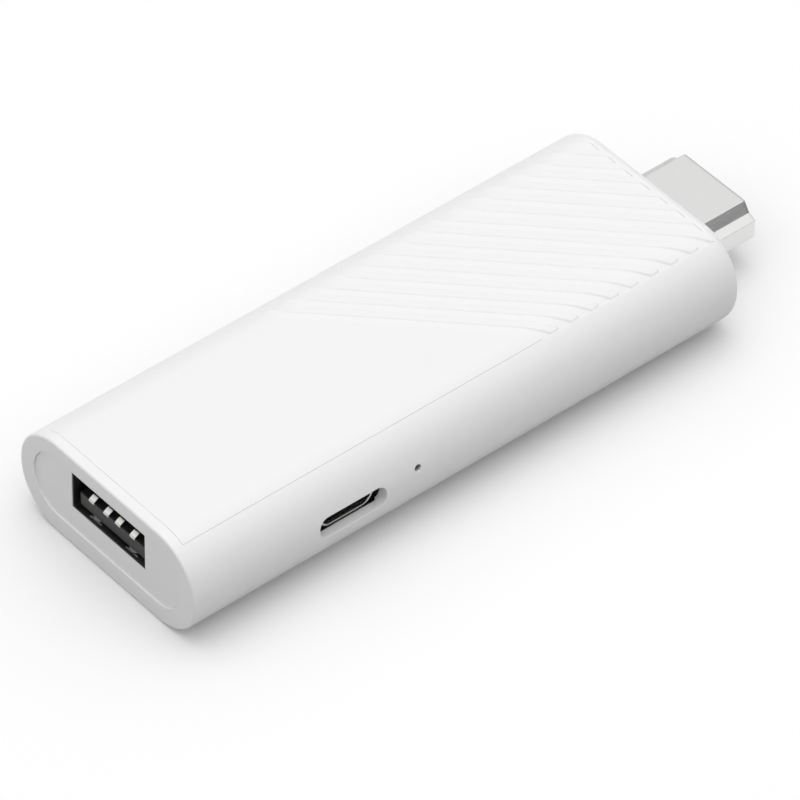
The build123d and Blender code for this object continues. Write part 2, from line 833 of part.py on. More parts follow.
# HDMI shell: the plug's steel sleeve and two ears soldered on the board
with BuildPart() as hdmi_shell:
    with BuildSketch(Plane.YZ.offset(hdmi_start_x)):
        add(hdmi_outline(0))
    extrude(amount=tip_x - hdmi_start_x)
    fillet(hdmi_shell.faces().sort_by(Axis.X)[-1].edges(), hdmi_tip_radius)
    with BuildSketch(Plane.YZ.offset(hdmi_start_x)):
        add(hdmi_outline(hdmi_sheet))
    extrude(amount=tip_x - hdmi_start_x, mode=Mode.SUBTRACT)
    ear_x = hdmi_start_x + hdmi_ear_overlap - hdmi_ear_length / 2
    for side in (-1, 1):
        ear_y = side * (hdmi_width - hdmi_ear_width) / 2
        block(ear_x, ear_y, chip_z, hdmi_ear_length, hdmi_ear_width, hdmi_sheet)
save(hdmi_shell, "hdmi_shell")

# HDMI insulator: black plastic round the slot, with a spacer at the back of it
liner_start_x = hdmi_start_x + hdmi_liner_start
liner_end_x = tip_x - hdmi_liner_setback
with BuildPart() as hdmi_insulator:
    with BuildSketch(Plane.YZ.offset(liner_start_x)):
        add(hdmi_outline(hdmi_sheet + hdmi_liner_gap))
        with Locations((0, hdmi_slot_z)):
            Rectangle(hdmi_slot_width, hdmi_slot_height, mode=Mode.SUBTRACT)
    extrude(amount=liner_end_x - liner_start_x)
    with Locations((liner_start_x, 0, hdmi_slot_z)):
        Box(
            hdmi_spacer_length,
            hdmi_slot_width,
            hdmi_slot_height - 2 * hdmi_contact_thickness - 2 * contact_slot_fit,
            align=(Align.MIN, Align.CENTER, Align.CENTER),
        )
save(hdmi_insulator, "hdmi_insulator")

# HDMI contacts: an upper and a lower row, feet on both faces of the board
slot_floor_z = hdmi_slot_z - hdmi_slot_height / 2
upper_run_z = slot_floor_z + hdmi_slot_height - hdmi_contact_thickness
upper_ys = row(hdmi_upper_contacts, hdmi_contact_pitch)
lower_ys = row(hdmi_lower_contacts, hdmi_contact_pitch)
with BuildPart() as hdmi_contacts:
    with BuildSketch(*across(upper_ys, hdmi_contact_width)):
        hdmi_strip(upper_run_z, chip_z)
    extrude(amount=hdmi_contact_width)
    with BuildSketch(*across(lower_ys, hdmi_contact_width)):
        hdmi_strip(slot_floor_z, under_chip_z - hdmi_contact_thickness)
    extrude(amount=hdmi_contact_width)
save(hdmi_contacts, "hdmi_contacts")

# Processor
processor_place = from_usb_end((processor_x, 0), chip_z)
with BuildPart() as processor:
    block(*processor_place, processor_size, processor_size, processor_height)
    fillet(processor.edges().filter_by(Axis.Z), package_corner)
save(processor, "processor")

# Memory chips, side by side
with BuildPart() as memory_chips:
    for chip_y in (-memory_y, memory_y):
        memory_place = from_usb_end((memory_x, chip_y), chip_z)
        block(*memory_place, memory_length, memory_width, memory_height)
    fillet(memory_chips.edges().filter_by(Axis.Z), package_corner)
save(memory_chips, "memory_chips")

# Storage chip under the board
with BuildPart() as storage_chip:
    storage_top = from_usb_end(storage_place, under_chip_z)
    hanging_block(*storage_top, storage_length, storage_width, storage_height)
    fillet(storage_chip.edges().filter_by(Axis.Z), package_corner)
save(storage_chip, "storage_chip")

# Power chip
with BuildPart() as power_chip:
    power_place = behind_usb(power_chip_place)
    block(*power_place, power_chip_size, power_chip_size, power_chip_height)
    fillet(power_chip.edges().filter_by(Axis.Z), package_corner)
save(power_chip, "power_chip")

# Shield frame: an open fence with a narrow flange at its top
with BuildPart() as shield_frame:
    frame_place = (shield_mid_x, 0, chip_z)
    block(*frame_place, shield_length, shield_width, shield_height)
    block(
        *frame_place,
        shield_length - 2 * shield_sheet,
        shield_width - 2 * shield_sheet,
        shield_height - shield_sheet,
        mode=Mode.SUBTRACT,
    )
    block(
        *frame_place,
        shield_length - 2 * shield_flange,
        shield_width - 2 * shield_flange,
        shield_height,
        mode=Mode.SUBTRACT,
    )
save(shield_frame, "shield_frame")

# Shield lid: a vented tray clipped over the frame
with BuildPart() as shield_lid:
    skirt_z = shield_top_z - shield_skirt
    skirt_place = (shield_mid_x, 0, skirt_z)
    lid_margin = 2 * (shield_fit + shield_sheet)
    block(
        *skirt_place,
        shield_length + lid_margin,
        shield_width + lid_margin,
        shield_skirt + shield_sheet,
    )
    block(
        *skirt_place,
        shield_length + 2 * shield_fit,
        shield_width + 2 * shield_fit,
        shield_skirt,
        mode=Mode.SUBTRACT,
    )
    vent_x = shield_length / 2 - shield_vent_setback
    with Locations(
        *[
            (shield_mid_x + side * vent_x, y, shield_top_z)
            for side in (-1, 1)
            for y in row(shield_vent_count, shield_vent_pitch)
        ]
    ):
        Cylinder(shield_vent_radius, shield_sheet, align=MIN_Z, mode=Mode.SUBTRACT)
save(shield_lid, "shield_lid")

# Thermal pad between the processor and the lid
with BuildPart() as processor_thermal_pad:
    pad_size = processor_size - 2 * pad_margin
    pad_place = from_usb_end((processor_x, 0), chip_z + processor_height)
    block(*pad_place, pad_size, pad_size, shield_height - processor_height)
save(processor_thermal_pad, "processor_thermal_pad")

# Thermal pad between the lid and the heat spreader
with BuildPart() as spreader_thermal_pad:
    spreader_pad_size = (spreader_pad_length, spreader_pad_width, spreader_pad_thickness)
    block(shield_mid_x, 0, spreader_pad_z, *spreader_pad_size)
save(spreader_thermal_pad, "spreader_thermal_pad")

# Heat spreader: an aluminium tray with two long flanges
with BuildPart() as heat_spreader:
    block(shield_mid_x, 0, spreader_z, spreader_length, spreader_width, spreader_thickness)
    flange_size = (
        spreader_length,
        spreader_flange_thickness,
        spreader_thickness + spreader_flange_height,
    )
    for side in (-1, 1):
        flange_y = side * (spreader_width - spreader_flange_thickness) / 2
        block(shield_mid_x, flange_y, spreader_z, *flange_size)
save(heat_spreader, "heat_spreader")

# Wi-Fi module under the board
with BuildPart() as wifi_module:
    wifi_top = from_usb_end(wifi_place, under_chip_z)
    hanging_block(*wifi_top, wifi_size, wifi_size, wifi_board_thickness)
save(wifi_module, "wifi_module")

# Shield can of the Wi-Fi module
with BuildPart() as wifi_shield:
    can_top = from_usb_end(wifi_place, under_chip_z - wifi_board_thickness)
    can_size = wifi_size - 2 * wifi_can_inset
    can_hollow = can_size - 2 * shield_sheet
    hanging_block(*can_top, can_size, can_size, wifi_can_height)
    fillet(wifi_shield.edges().filter_by(Axis.Z), package_corner)
    hanging_block(
        *can_top, can_hollow, can_hollow, wifi_can_height - shield_sheet, mode=Mode.SUBTRACT
    )
save(wifi_shield, "wifi_shield")

# Power inductors
with BuildPart() as power_inductors:
    for place in inductor_places:
        block(*behind_usb(place), inductor_size, inductor_size, inductor_height)
    fillet(power_inductors.edges().filter_by(Axis.Z), inductor_corner)
save(power_inductors, "power_inductors")

# Clock crystal
with BuildPart() as crystal:
    block(*from_usb_end(crystal_place, chip_z), crystal_length, crystal_width, crystal_height)
    fillet(crystal.edges().filter_by(Axis.Z), package_corner)
save(crystal, "crystal")

# Filter capacitors
with BuildPart() as filter_capacitors:
    for place in capacitor_places:
        capacitor_place = from_usb_end(place, chip_z)
        block(*capacitor_place, capacitor_length, capacitor_width, capacitor_height)
save(filter_capacitors, "filter_capacitors")

# Chip capacitors: one row near the plug, one row under the board
with BuildPart() as chip_capacitors:
    small_size = (small_length, small_width, small_height)
    for small_y in row(small_count, small_pitch):
        block(plug_end_x - small_top_setback, small_y, chip_z, *small_size)
        hanging_block(usb_end_x + small_bottom_x, small_y, under_chip_z, *small_size)
save(chip_capacitors, "chip_capacitors")

# Antennas: a strip on two legs beside each side of the USB-A socket
with BuildPart() as antennas:
    strip_z = chip_z + antenna_height - antenna_strip
    start_x = usb_end_x + antenna_start
    with BuildSketch(*across((-antenna_y, antenna_y), antenna_sheet)):
        with Locations((start_x, strip_z)):
            Rectangle(antenna_length, antenna_strip, align=Align.MIN)
        with Locations((start_x, chip_z), (start_x + antenna_leg_spacing, chip_z)):
            Rectangle(antenna_leg, antenna_height, align=Align.MIN)
    extrude(amount=antenna_sheet)
save(antennas, "antennas")

# Reset switch base: a black block with a pocket open towards the pinhole
with BuildPart() as reset_switch_base:
    with Locations((reset_mid_x, -switch_face, chip_z)):
        Box(
            switch_width,
            switch_face - switch_back,
            switch_height,
            align=(Align.CENTER, Align.MIN, Align.MIN),
        )
    with Locations((reset_mid_x, -switch_face, reset_z)):
        Box(
            switch_pocket_width,
            switch_pocket_depth,
            switch_pocket_height,
            align=(Align.CENTER, Align.MIN, Align.CENTER),
            mode=Mode.SUBTRACT,
        )
save(reset_switch_base, "reset_switch_base")

# Reset switch dome: a thin round cap on the floor of the pocket
with BuildPart() as reset_switch_dome:
    with Locations((reset_mid_x, dome_sphere - dome_rise - pocket_floor, reset_z)):
        Sphere(dome_sphere)
        Sphere(dome_sphere - dome_sheet, mode=Mode.SUBTRACT)
    split(bisect_by=Plane.XZ.offset(pocket_floor), keep=Keep.TOP)
save(reset_switch_dome, "reset_switch_dome")

# Reset switch cover: a steel front with a window and two cheeks along the base
with BuildPart() as reset_switch_cover:
    with Locations((reset_mid_x, -switch_front, chip_z)):
        Box(
            switch_width + 2 * switch_cover_sheet,
            switch_cheek_length,
            switch_height,
            align=(Align.CENTER, Align.MIN, Align.MIN),
        )
    with Locations((reset_mid_x, -switch_face, chip_z)):
        Box(
            switch_width,
            switch_cheek_length,
            switch_height,
            align=(Align.CENTER, Align.MIN, Align.MIN),
            mode=Mode.SUBTRACT,
        )
    with Locations((reset_mid_x, -switch_front, reset_z)):
        Box(
            button_width + 2 * button_play,
            switch_depth,
            button_height + 2 * button_play,
            mode=Mode.SUBTRACT,
        )
save(reset_switch_cover, "reset_switch_cover")

# Reset button: the plunger, held behind the cover's window by its flange
with BuildPart() as reset_button:
    with Locations((reset_mid_x, -flange_front, reset_z)):
        Box(
            button_width,
            switch_front + button_reach - flange_front,
            button_height,
            align=(Align.CENTER, Align.MAX, Align.CENTER),
        )
    fillet(reset_button.faces().sort_by(Axis.Y)[0].edges(), button_edge_radius)
    with Locations((reset_mid_x, -flange_front, reset_z)):
        Box(
            button_width + 2 * button_flange,
            button_flange_thickness,
            button_height + 2 * button_flange,
            align=(Align.CENTER, Align.MIN, Align.CENTER),
        )
save(reset_button, "reset_button")
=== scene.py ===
import json
import math
from collections import namedtuple

import bpy
from bpy.props import FloatProperty, FloatVectorProperty, IntProperty, PointerProperty
from bpy.types import Operator, Panel, PropertyGroup
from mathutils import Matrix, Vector


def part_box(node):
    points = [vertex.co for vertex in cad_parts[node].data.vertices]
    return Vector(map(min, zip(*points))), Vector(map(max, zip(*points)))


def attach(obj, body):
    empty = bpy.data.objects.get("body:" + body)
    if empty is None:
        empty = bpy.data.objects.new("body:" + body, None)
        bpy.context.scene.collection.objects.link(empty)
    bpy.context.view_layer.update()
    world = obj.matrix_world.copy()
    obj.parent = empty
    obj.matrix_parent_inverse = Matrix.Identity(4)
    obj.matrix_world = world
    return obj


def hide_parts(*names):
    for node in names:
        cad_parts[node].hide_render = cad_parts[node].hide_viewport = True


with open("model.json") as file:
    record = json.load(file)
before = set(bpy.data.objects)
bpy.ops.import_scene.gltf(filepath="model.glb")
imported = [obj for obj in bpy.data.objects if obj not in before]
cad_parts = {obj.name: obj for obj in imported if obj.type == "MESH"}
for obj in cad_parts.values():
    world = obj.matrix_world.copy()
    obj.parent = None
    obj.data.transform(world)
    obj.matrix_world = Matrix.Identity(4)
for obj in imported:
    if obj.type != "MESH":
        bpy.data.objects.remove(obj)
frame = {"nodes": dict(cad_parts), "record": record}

bl_info = {
    "name": "Streaming Stick",
    "version": (1, 0, 0),
    "blender": (4, 5, 0),
    "location": "View3D > Sidebar > Stick",
    "description": "Models and finishes a streaming stick round its packed frame",
    "category": "Add Mesh",
}

# The pieces are drawn in millimetres, because fine bevels fail at true size, and end in metres
MILLIMETRES = 1000.0
TINY = 0.002
SOLDER = 0.02
DECIMALS = 3
# The axes, the ways that a face may look along one, and where a sheet gets its wall
X, Y, Z = range(3)
BOTH_WAYS = (-1, 1)
UP = (1,)
DOWN = (-1,)
MOSTLY = 0.5
INWARDS = -1
CENTRED = 0
WHOLE = "stick"
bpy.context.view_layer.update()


def length(name, description, value):
    """A length setting, in metres."""
    return FloatProperty(
        name=name, description=description, default=value, min=0.0, precision=5, unit="LENGTH"
    )


def colour(name, description, value):
    """A colour setting."""
    return FloatVectorProperty(
        name=name, description=description, default=value, min=0.0, max=1.0, subtype="COLOR", size=3
    )


def position(name, description, value):
    """A place setting, in metres."""
    return FloatVectorProperty(
        name=name,
        description=description,
        default=value,
        subtype="TRANSLATION",
        unit="LENGTH",
        size=3,
    )


class StickCase(PropertyGroup):
    """Sizes of the case, its cover and its end plate."""

    side_radius: length("Side radius", "Radius of the four long edges", 0.0063)
    usb_edge: length("USB end edge", "Radius round the USB end", 0.0003)
    plug_edge: length("Plug end edge", "Radius round the plug end", 0.0015)
    wall: length("Wall", "Thickness of the floor and sides", 0.0014)
    usb_end_wall: length("USB end wall", "Thickness of the wall at the USB end", 0.0022)
    plug_end_wall: length("Plug end wall", "Thickness of the wall at the plug end", 0.002)
    shoulder: length("Shoulder depth", "Depth of the shoulder that the hooks catch under", 0.0032)
    ledge: length("Ledge depth", "Depth of the ledge that the cover lies on", 0.0015)
    ledge_width: length("Ledge width", "Width of that ledge", 0.001)
    cover_side: length("Cover side margin", "From the case's side to the cover", 0.0036)
    cover_usb: length("Cover USB margin", "From the USB end to the cover", 0.0014)
    cover_plug: length("Cover plug margin", "From the plug end to the cover", 0.0013)
    seam: length("Seam", "Gap round the cover", 0.00002)
    groove_depth: length("Groove depth", "Depth of the grooves on the flat", 0.00011)
    groove_side: length("Groove side depth", "Depth of the grooves towards the sides", 0.00042)
    groove_slope: length("Groove slope", "Width of the slope on each side of a groove", 0.0002)
    cover_rim: length("Cover rim", "Plain rim beyond the ribs' far ends", 0.00035)
    groove_start: length("Groove start", "Where the ribbed zone starts on the middle line", 0.0403)
    rib_pitch: length("Rib pitch", "From rib to rib, square to the ribs", 0.00206)
    rib_width: length("Rib width", "Width of a rib", 0.00106)
    rib_tip: length("Rib tip radius", "Radius of the corners of a rib's ends", 0.0005)
    rib_slant: FloatProperty(
        name="Rib slant",
        description="Angle from the case's length to the ribs",
        default=math.radians(-45.0),
        unit="ROTATION",
    )
    hook_width: length("Hook width", "Width of a snap hook", 0.004)
    hook_sheet: length("Hook thickness", "Thickness of a snap hook", 0.0009)
    hook_play: length("Hook play", "Gap between a hook and the case", 0.0001)
    hook_barb: length("Hook barb", "How far a barb reaches under the shoulder", 0.0005)
    barb_height: length("Barb height", "Height of a barb", 0.0007)
    plate_corner: length("Plate corner", "Corner radius of the end plate", 0.00425)
    plate_gap: length("Plate gap", "Gap round the end plate", 0.00001)
    plate_lip: length("Plate lip", "Thickness of the lip round the USB opening", 0.00012)
    plate_seat: length("Plate seat", "Width of the seat behind the plate's edge", 0.0009)
    soft_edge: length("Soft edge", "Moulded radius of the sharp edges", 0.00006)
    segments: IntProperty(
        name="Segments", description="Facets in each rounded long edge", default=40, min=4, max=64
    )


class StickSockets(PropertyGroup):
    """Sizes of the USB-A socket, the micro-USB socket and the pinhole."""

    usb_width: length("USB-A width", "Width of the USB-A opening", 0.0125)
    usb_height: length("USB-A height", "Height of the USB-A opening", 0.00512)
    usb_middle: length("USB-A middle", "Height of the middle of the USB-A opening", 0.008)
    usb_sheet: length("USB-A sheet", "Thickness of the USB-A shell", 0.0003)
    spring_place: length("Spring place", "From the middle line to a spring finger", 0.0031)
    spring_width: length("Spring width", "Width of a spring finger's window", 0.0022)
    spring_length: length("Spring length", "Length of a spring finger's window", 0.006)
    spring_front: length("Spring front", "From the shell's mouth to the window", 0.0002)
    spring_slit: length("Spring slit", "Gap beside and before a spring finger", 0.0002)
    spring_bulge: length("Spring bulge", "How far a spring finger bulges in", 0.00048)
    spring_slope: length("Spring slope", "Length of each slope of the bulge", 0.0009)
    blade_height: length("Blade height", "Height of the USB-A tongue's blade", 0.00184)
    blade_width: length("Blade width", "Width of the USB-A tongue's blade", 0.0111)
    blade_lift: length("Blade lift", "Gap under the USB-A tongue's blade", 0.0006)
    contact_width: length("Contact width", "Width of a USB-A contact", 0.00085)
    contact_sheet: length("Contact thickness", "Thickness of a USB-A contact", 0.00015)
    micro_width: length("Micro-USB mouth width", "Width of the opening in the case", 0.0093)
    micro_height: length("Micro-USB mouth height", "Height of the opening in the case", 0.0027)
    micro_corner: length("Micro-USB mouth corner", "Corner radius of that opening", 0.0012)
    micro_sheet: length("Micro-USB sheet", "Thickness of the micro-USB shell", 0.00025)
    micro_shoulder: length("Micro-USB shoulder", "Height of the shell's slanted sides", 0.001)
    micro_sole: length("Micro-USB sole", "Width of the shell's narrow side", 0.0054)
    micro_bend: length("Micro-USB bend", "Corner radius of the shell", 0.00045)
    relief: length("Relief", "Room round the micro-USB shell behind the opening", 0.0003)
    pinhole: length("Pinhole", "Radius of the pinhole", 0.00045)


class StickPlug(PropertyGroup):
    """Sizes of the HDMI plug."""

    width: length("Plug width", "Width of the plug", 0.0139)
    bottom: length("Plug bottom", "Height of the plug's underside", 0.00355)
    side_height: length("Side height", "Height of the plug's upright sides", 0.00272)
    shelf_rise: length("Shelf rise", "Rise of the shelf beside the steep side", 0.00049)
    shelf_reach: length("Shelf reach", "Width of that shelf", 0.00103)
    steep_rise: length("Steep rise", "Rise of the steep sides", 0.00124)
    flat_width: length("Flat width", "Width of the plug's narrow flat", 0.0101)
    sheet: length("Plug sheet", "Thickness of the plug's shell", 0.0003)
    bottom_bend: length("Bottom bend", "Radius of the plug's lower edges", 0.0005)
    doorway_gap: length("Doorway gap", "Gap between the plug and the case", 0.00012)
    liner_gap: length("Liner gap", "Gap between the shell and the insulator", 0.00004)
    slot_width: length("Slot width", "Width of the slot in the insulator", 0.0109)
    slot_height: length("Slot height", "Height of the slot in the insulator", 0.00175)


class StickFinishes(PropertyGroup):
    """Colours of the finishes, under the names of their materials."""

    white_case_plastic: colour("Case plastic", "White satin plastic", (0.897, 0.891, 0.9))
    nickel_plating: colour("Plating", "Nickel plating of the plug and shells", (0.77, 0.77, 0.765))
    # Nickel darkened far below its own tone: this low colour paints the shade inside the USB-A
    # socket
    dull_nickel: colour("Dull nickel", "Unpolished nickel of the USB-A shell", (0.2, 0.2, 0.2))
    contact_gold: colour("Gold", "Plating of the small contacts", (0.85, 0.72, 0.45))
    contact_tin: colour("Tin", "Pale plating of the USB-A contacts", (0.87, 0.86, 0.82))
    connector_black: colour("Insulator", "Black plastic of the connectors", (0.012, 0.012, 0.013))
    solder_mask: colour("Solder mask", "Green of the boards", (0.03, 0.16, 0.08))
    tinned_steel: colour("Tinned steel", "Shields, screws and the switch", (0.62, 0.62, 0.62))
    chip_epoxy: colour("Chip epoxy", "Moulding of the chips", (0.03, 0.03, 0.032))
    thermal_rubber: colour("Thermal rubber", "Soft pads on the processor", (0.45, 0.5, 0.6))
    mill_aluminium: colour("Aluminium", "Heat spreader", (0.8, 0.8, 0.81))
    ferrite: colour("Ferrite", "Inductors", (0.12, 0.12, 0.12))
    ceramic: colour("Ceramic", "Capacitors", (0.5, 0.36, 0.24))
    button_plastic: colour("Button", "Plastic of the reset button", (0.12, 0.12, 0.12))


class StickStudio(PropertyGroup):
    """Camera, floor and light."""

    camera_place: position(
        "Camera place", "Where the camera stands", (-0.4060104, -0.470962, 0.5907828)
    )
    camera_turn: FloatVectorProperty(
        name="Camera turn",
        description="How the camera is turned",
        default=(math.radians(46.4469), math.radians(-0.6088), math.radians(-40.0113)),
        subtype="EULER",
        size=3,
    )
    lens: FloatProperty(
        name="Lens",
        description="Focal length in millimetres, on a 36 mm wide picture",
        default=349.92,
        subtype="DISTANCE_CAMERA",
    )
    floor_size: length("Floor size", "Width of the square floor", 4.0)
    floor: colour("Floor", "Colour that the floor throws on the stick", (0.45, 0.45, 0.455))
    floor_seen: colour("Seen floor", "Colour of the floor in the picture", (0.97, 0.97, 0.97))
    lamp_place: position("Lamp place", "Where the overhead lamp stands", (0.13, 0.29, 1.5))
    lamp_size: length("Lamp size", "Width of the round overhead lamp", 1.15)
    lamp_power: FloatProperty(
        name="Lamp power", description="Power of the overhead lamp", default=1.85, unit="POWER"
    )


class Sizes:
    """The lengths of a property group in millimetres, read as attributes."""

    def __init__(self, group):
        settings = getattr(bpy.context.scene, group)
        for setting in settings.bl_rna.properties:
            if setting.unit == "LENGTH":
                size = getattr(settings, setting.identifier) * MILLIMETRES
                setattr(self, setting.identifier, size)


def node_box(node):
    """Lowest and highest corners of a CAD node, in millimetres."""
    low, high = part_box(node)
    return low * MILLIMETRES, high * MILLIMETRES


# Hand tools


def deselect():
    """Leave every object unselected."""
    bpy.ops.object.select_all(action="DESELECT")


def take(piece):
    """Select one piece only and make it active."""
    deselect()
    piece.select_set(True)
    bpy.context.view_layer.objects.active = piece


def settled(name):
    """The object just added, named, with its place and size in its mesh."""
    bpy.ops.object.transform_apply()
    piece = bpy.context.object
    piece.name = name
    return piece


def cuboid(name, low, high):
    """A box between two corners, to start a piece or a cutter."""
    low = Vector(low)
    high = Vector(high)
    deselect()
    bpy.ops.mesh.primitive_cube_add(size=1, location=(low + high) / 2, scale=high - low)
    return settled(name)


def block(name, start, end, width, bottom, top):
    """A box from start to end along X, as wide to both sides of the middle line."""
    return cuboid(name, (start, -width / 2, bottom), (end, width / 2, top))


def cylinder(name, middle, radius, height, vertices, tilt=0.0):
    """A round bar about its middle, upright or tilted about X."""
    deselect()
    bpy.ops.mesh.primitive_cylinder_add(
        vertices=vertices, radius=radius, depth=height, location=middle, rotation=(tilt, 0, 0)
    )
    return settled(name)


def choose(piece, kind, test):
    """Open a piece in edit mode with the vertices, edges or faces chosen that pass a test."""
    take(piece)
    mesh = piece.data
    for group in (mesh.vertices, mesh.edges, mesh.polygons):
        group.foreach_set("select", [False] * len(group))
    if kind == "FACE":
        for face in mesh.polygons:
            face.select = test(face.center, face.normal)
    elif kind == "EDGE":
        for edge in mesh.edges:
            first, second = (mesh.vertices[index].co for index in edge.vertices)
            edge.select = test(first, second)
    else:
        for vertex in mesh.vertices:
            vertex.select = test(vertex.co)
    settings = bpy.context.tool_settings
    settings.mesh_select_mode = (kind == "VERT", kind == "EDGE", kind == "FACE")
    bpy.ops.object.mode_set(mode="EDIT")


def open_all(piece):
    """Open a piece in edit mode with all of it chosen."""
    choose(piece, "VERT", lambda point: True)


def close_edit():
    """Go back to object mode."""
    bpy.ops.object.mode_set(mode="OBJECT")


def along(axis):
    """A test for edges that run along an axis."""

    def test(first, second):
        return abs((second - first).normalized()[axis]) > 1 - TINY

    return test


def in_plane(axis, place):
    """A test for edges that lie in the plane at a place on an axis."""

    def test(first, second):
        return abs(first[axis] - place) < TINY and abs(second[axis] - place) < TINY

    return test


def facing(axis, ways=BOTH_WAYS):
    """A test for faces that look along an axis, both ways or one way only."""

    def test(centre, normal):
        return max(normal[axis] * way for way in ways) > MOSTLY

    return test


def extrude(x, y, z):
    """Extrude what is chosen."""
    bpy.ops.mesh.extrude_region_move(TRANSFORM_OT_translate={"value": (x, y, z)})


def round_edges(piece, test, radius, segments):
    """Bevel the edges that pass a test to a radius."""
    choose(piece, "EDGE", test)
    bpy.ops.mesh.bevel(offset=radius, segments=segments, affect="EDGES", clamp_overlap=False)
    close_edit()


def round_corners(piece, radius, segments):
    """Round the upright edges that are neither flat nor square, all to the same radius."""
    mesh = piece.data
    normals = {}
    for face in mesh.polygons:
        if not facing(Z)(face.center, face.normal):
            for key in face.edge_keys:
                normals.setdefault(key, []).append(face.normal.copy())
    reaches = {}
    for edge in mesh.edges:
        first, second = (mesh.vertices[index].co for index in edge.vertices)
        if along(Z)(first, second):
            angle = normals[edge.key][0].angle(normals[edge.key][1])
            if min(angle, abs(angle - math.pi / 2)) > TINY:
                reach = round(radius * math.tan(angle / 2), DECIMALS)
                reaches.setdefault(reach, []).append(first.xy.copy())
    for reach, corners in reaches.items():
        round_edges(
            piece,
            lambda first, second: along(Z)(first, second)
            and min((first.xy - corner).length for corner in corners) < TINY,
            reach,
            segments,
        )


def remove_faces(piece, test):
    """Take out the faces that pass a test."""
    choose(piece, "FACE", test)
    bpy.ops.mesh.delete(type="FACE")
    close_edit()


def apply_modifier(piece, kind, **settings):
    """Add a modifier with its settings and apply it."""
    take(piece)
    bpy.ops.object.modifier_add(type=kind)
    modifier = piece.modifiers[-1]
    for name, value in settings.items():
        setattr(modifier, name, value)
    bpy.ops.object.modifier_apply(modifier=modifier.name)
    if not piece.data.polygons:
        raise RuntimeError(f"{piece.name} came out empty")


def combine(piece, tool, operation):
    """Cut, join or clip a piece with a tool, which is used up."""
    apply_modifier(piece, "BOOLEAN", operation=operation, solver="EXACT", object=tool)
    bpy.data.objects.remove(tool)


def cut(piece, *tools):
    """Cut tools out of a piece."""
    for tool in tools:
        combine(piece, tool, "DIFFERENCE")


def unite(piece, *tools):
    """Join tools to a piece."""
    for tool in tools:
        combine(piece, tool, "UNION")


def gather(name, pieces):
    """One object of several separate ones."""
    take(pieces[0])
    for piece in pieces:
        piece.select_set(True)
    bpy.ops.object.join()
    pieces[0].name = name
    return pieces[0]


def copy(piece, shift):
    """A copy with its own mesh, moved."""
    take(piece)
    bpy.ops.object.duplicate(linked=False)
    twin = bpy.context.object
    twin.location = shift
    bpy.ops.object.transform_apply()
    return twin


def turn(piece, angle, place):
    """Turn a piece about the upright line through a place on X."""
    open_all(piece)
    bpy.ops.transform.rotate(value=angle, orient_axis="Z", center_override=(place, 0, 0))
    close_edit()


def slice_off(piece, place, normal):
    """Cut a piece by a plane and close it, leaving out what the normal points at."""
    open_all(piece)
    bpy.ops.mesh.bisect(
        plane_co=place, plane_no=normal, use_fill=True, clear_outer=True, threshold=TINY / 10
    )
    close_edit()


def ring(piece, axis, place):
    """A ring of edges round a piece at a place on an axis."""
    open_all(piece)
    normal = [float(number == axis) for number in (X, Y, Z)]
    bpy.ops.mesh.bisect(plane_co=[place * share for share in normal], plane_no=normal)
    close_edit()


def rounded_bar(name, low, high, radius, segments):
    """A bar along X whose long edges are rounded."""
    bar = cuboid(name, low, high)
    round_edges(bar, along(X), radius, segments)
    return bar


def thicken(piece, sheet, offset):
    """Give an open sheet its thickness."""
    apply_modifier(piece, "SOLIDIFY", thickness=sheet, offset=offset, use_even_offset=True)


def sleeve(piece, axis, sheet):
    """Make a closed bar along an axis an open sleeve, its wall inside its outline."""
    remove_faces(piece, facing(axis))
    thicken(piece, sheet, INWARDS)


def ribbon(name, path, width, sheet, bend):
    """A strip of sheet metal bent along the middle line path, its width along Y."""
    start = Vector(path[0])
    deselect()
    bpy.ops.mesh.primitive_plane_add(size=width, location=start)
    strip = settled(name)
    choose(strip, "VERT", lambda point: point.x > start.x)
    bpy.ops.mesh.delete(type="VERT")
    bpy.ops.mesh.select_all(action="SELECT")
    bpy.ops.transform.translate(value=(width / 2, 0, 0))
    for here, there in zip(path, path[1:]):
        extrude(*(Vector(there) - Vector(here)))
    close_edit()
    ends = (start, Vector(path[-1]))

    def bent(first, second):
        middle = (first + second) / 2
        return along(Y)(first, second) and min((middle - end).length for end in ends) > TINY

    round_edges(strip, bent, bend, segments=4)
    thicken(strip, sheet, CENTRED)
    return strip


def complete(piece, look, nodes, soft_edge, crease=36.0, facet=None):
    """Soften the edges sharper than crease, shade flat past facet, and stand in for CAD nodes."""
    open_all(piece)
    bpy.ops.mesh.remove_doubles(threshold=soft_edge / 4 + TINY)
    close_edit()
    if soft_edge:
        apply_modifier(
            piece,
            "BEVEL",
            width=soft_edge,
            segments=3,
            limit_method="ANGLE",
            angle_limit=math.radians(crease),
            use_clamp_overlap=False,
        )
    open_all(piece)
    bpy.ops.mesh.normals_make_consistent(inside=False)
    close_edit()
    bpy.ops.object.shade_smooth_by_angle(angle=math.radians(facet or crease))
    apply_modifier(piece, "WEIGHTED_NORMAL", keep_sharp=True)
    piece.scale = Vector((1, 1, 1)) / MILLIMETRES
    bpy.ops.object.transform_apply()
    piece.data.materials.clear()
    piece.data.materials.append(finish(look))
    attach(piece, WHOLE)
    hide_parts(*nodes)


# Finishes

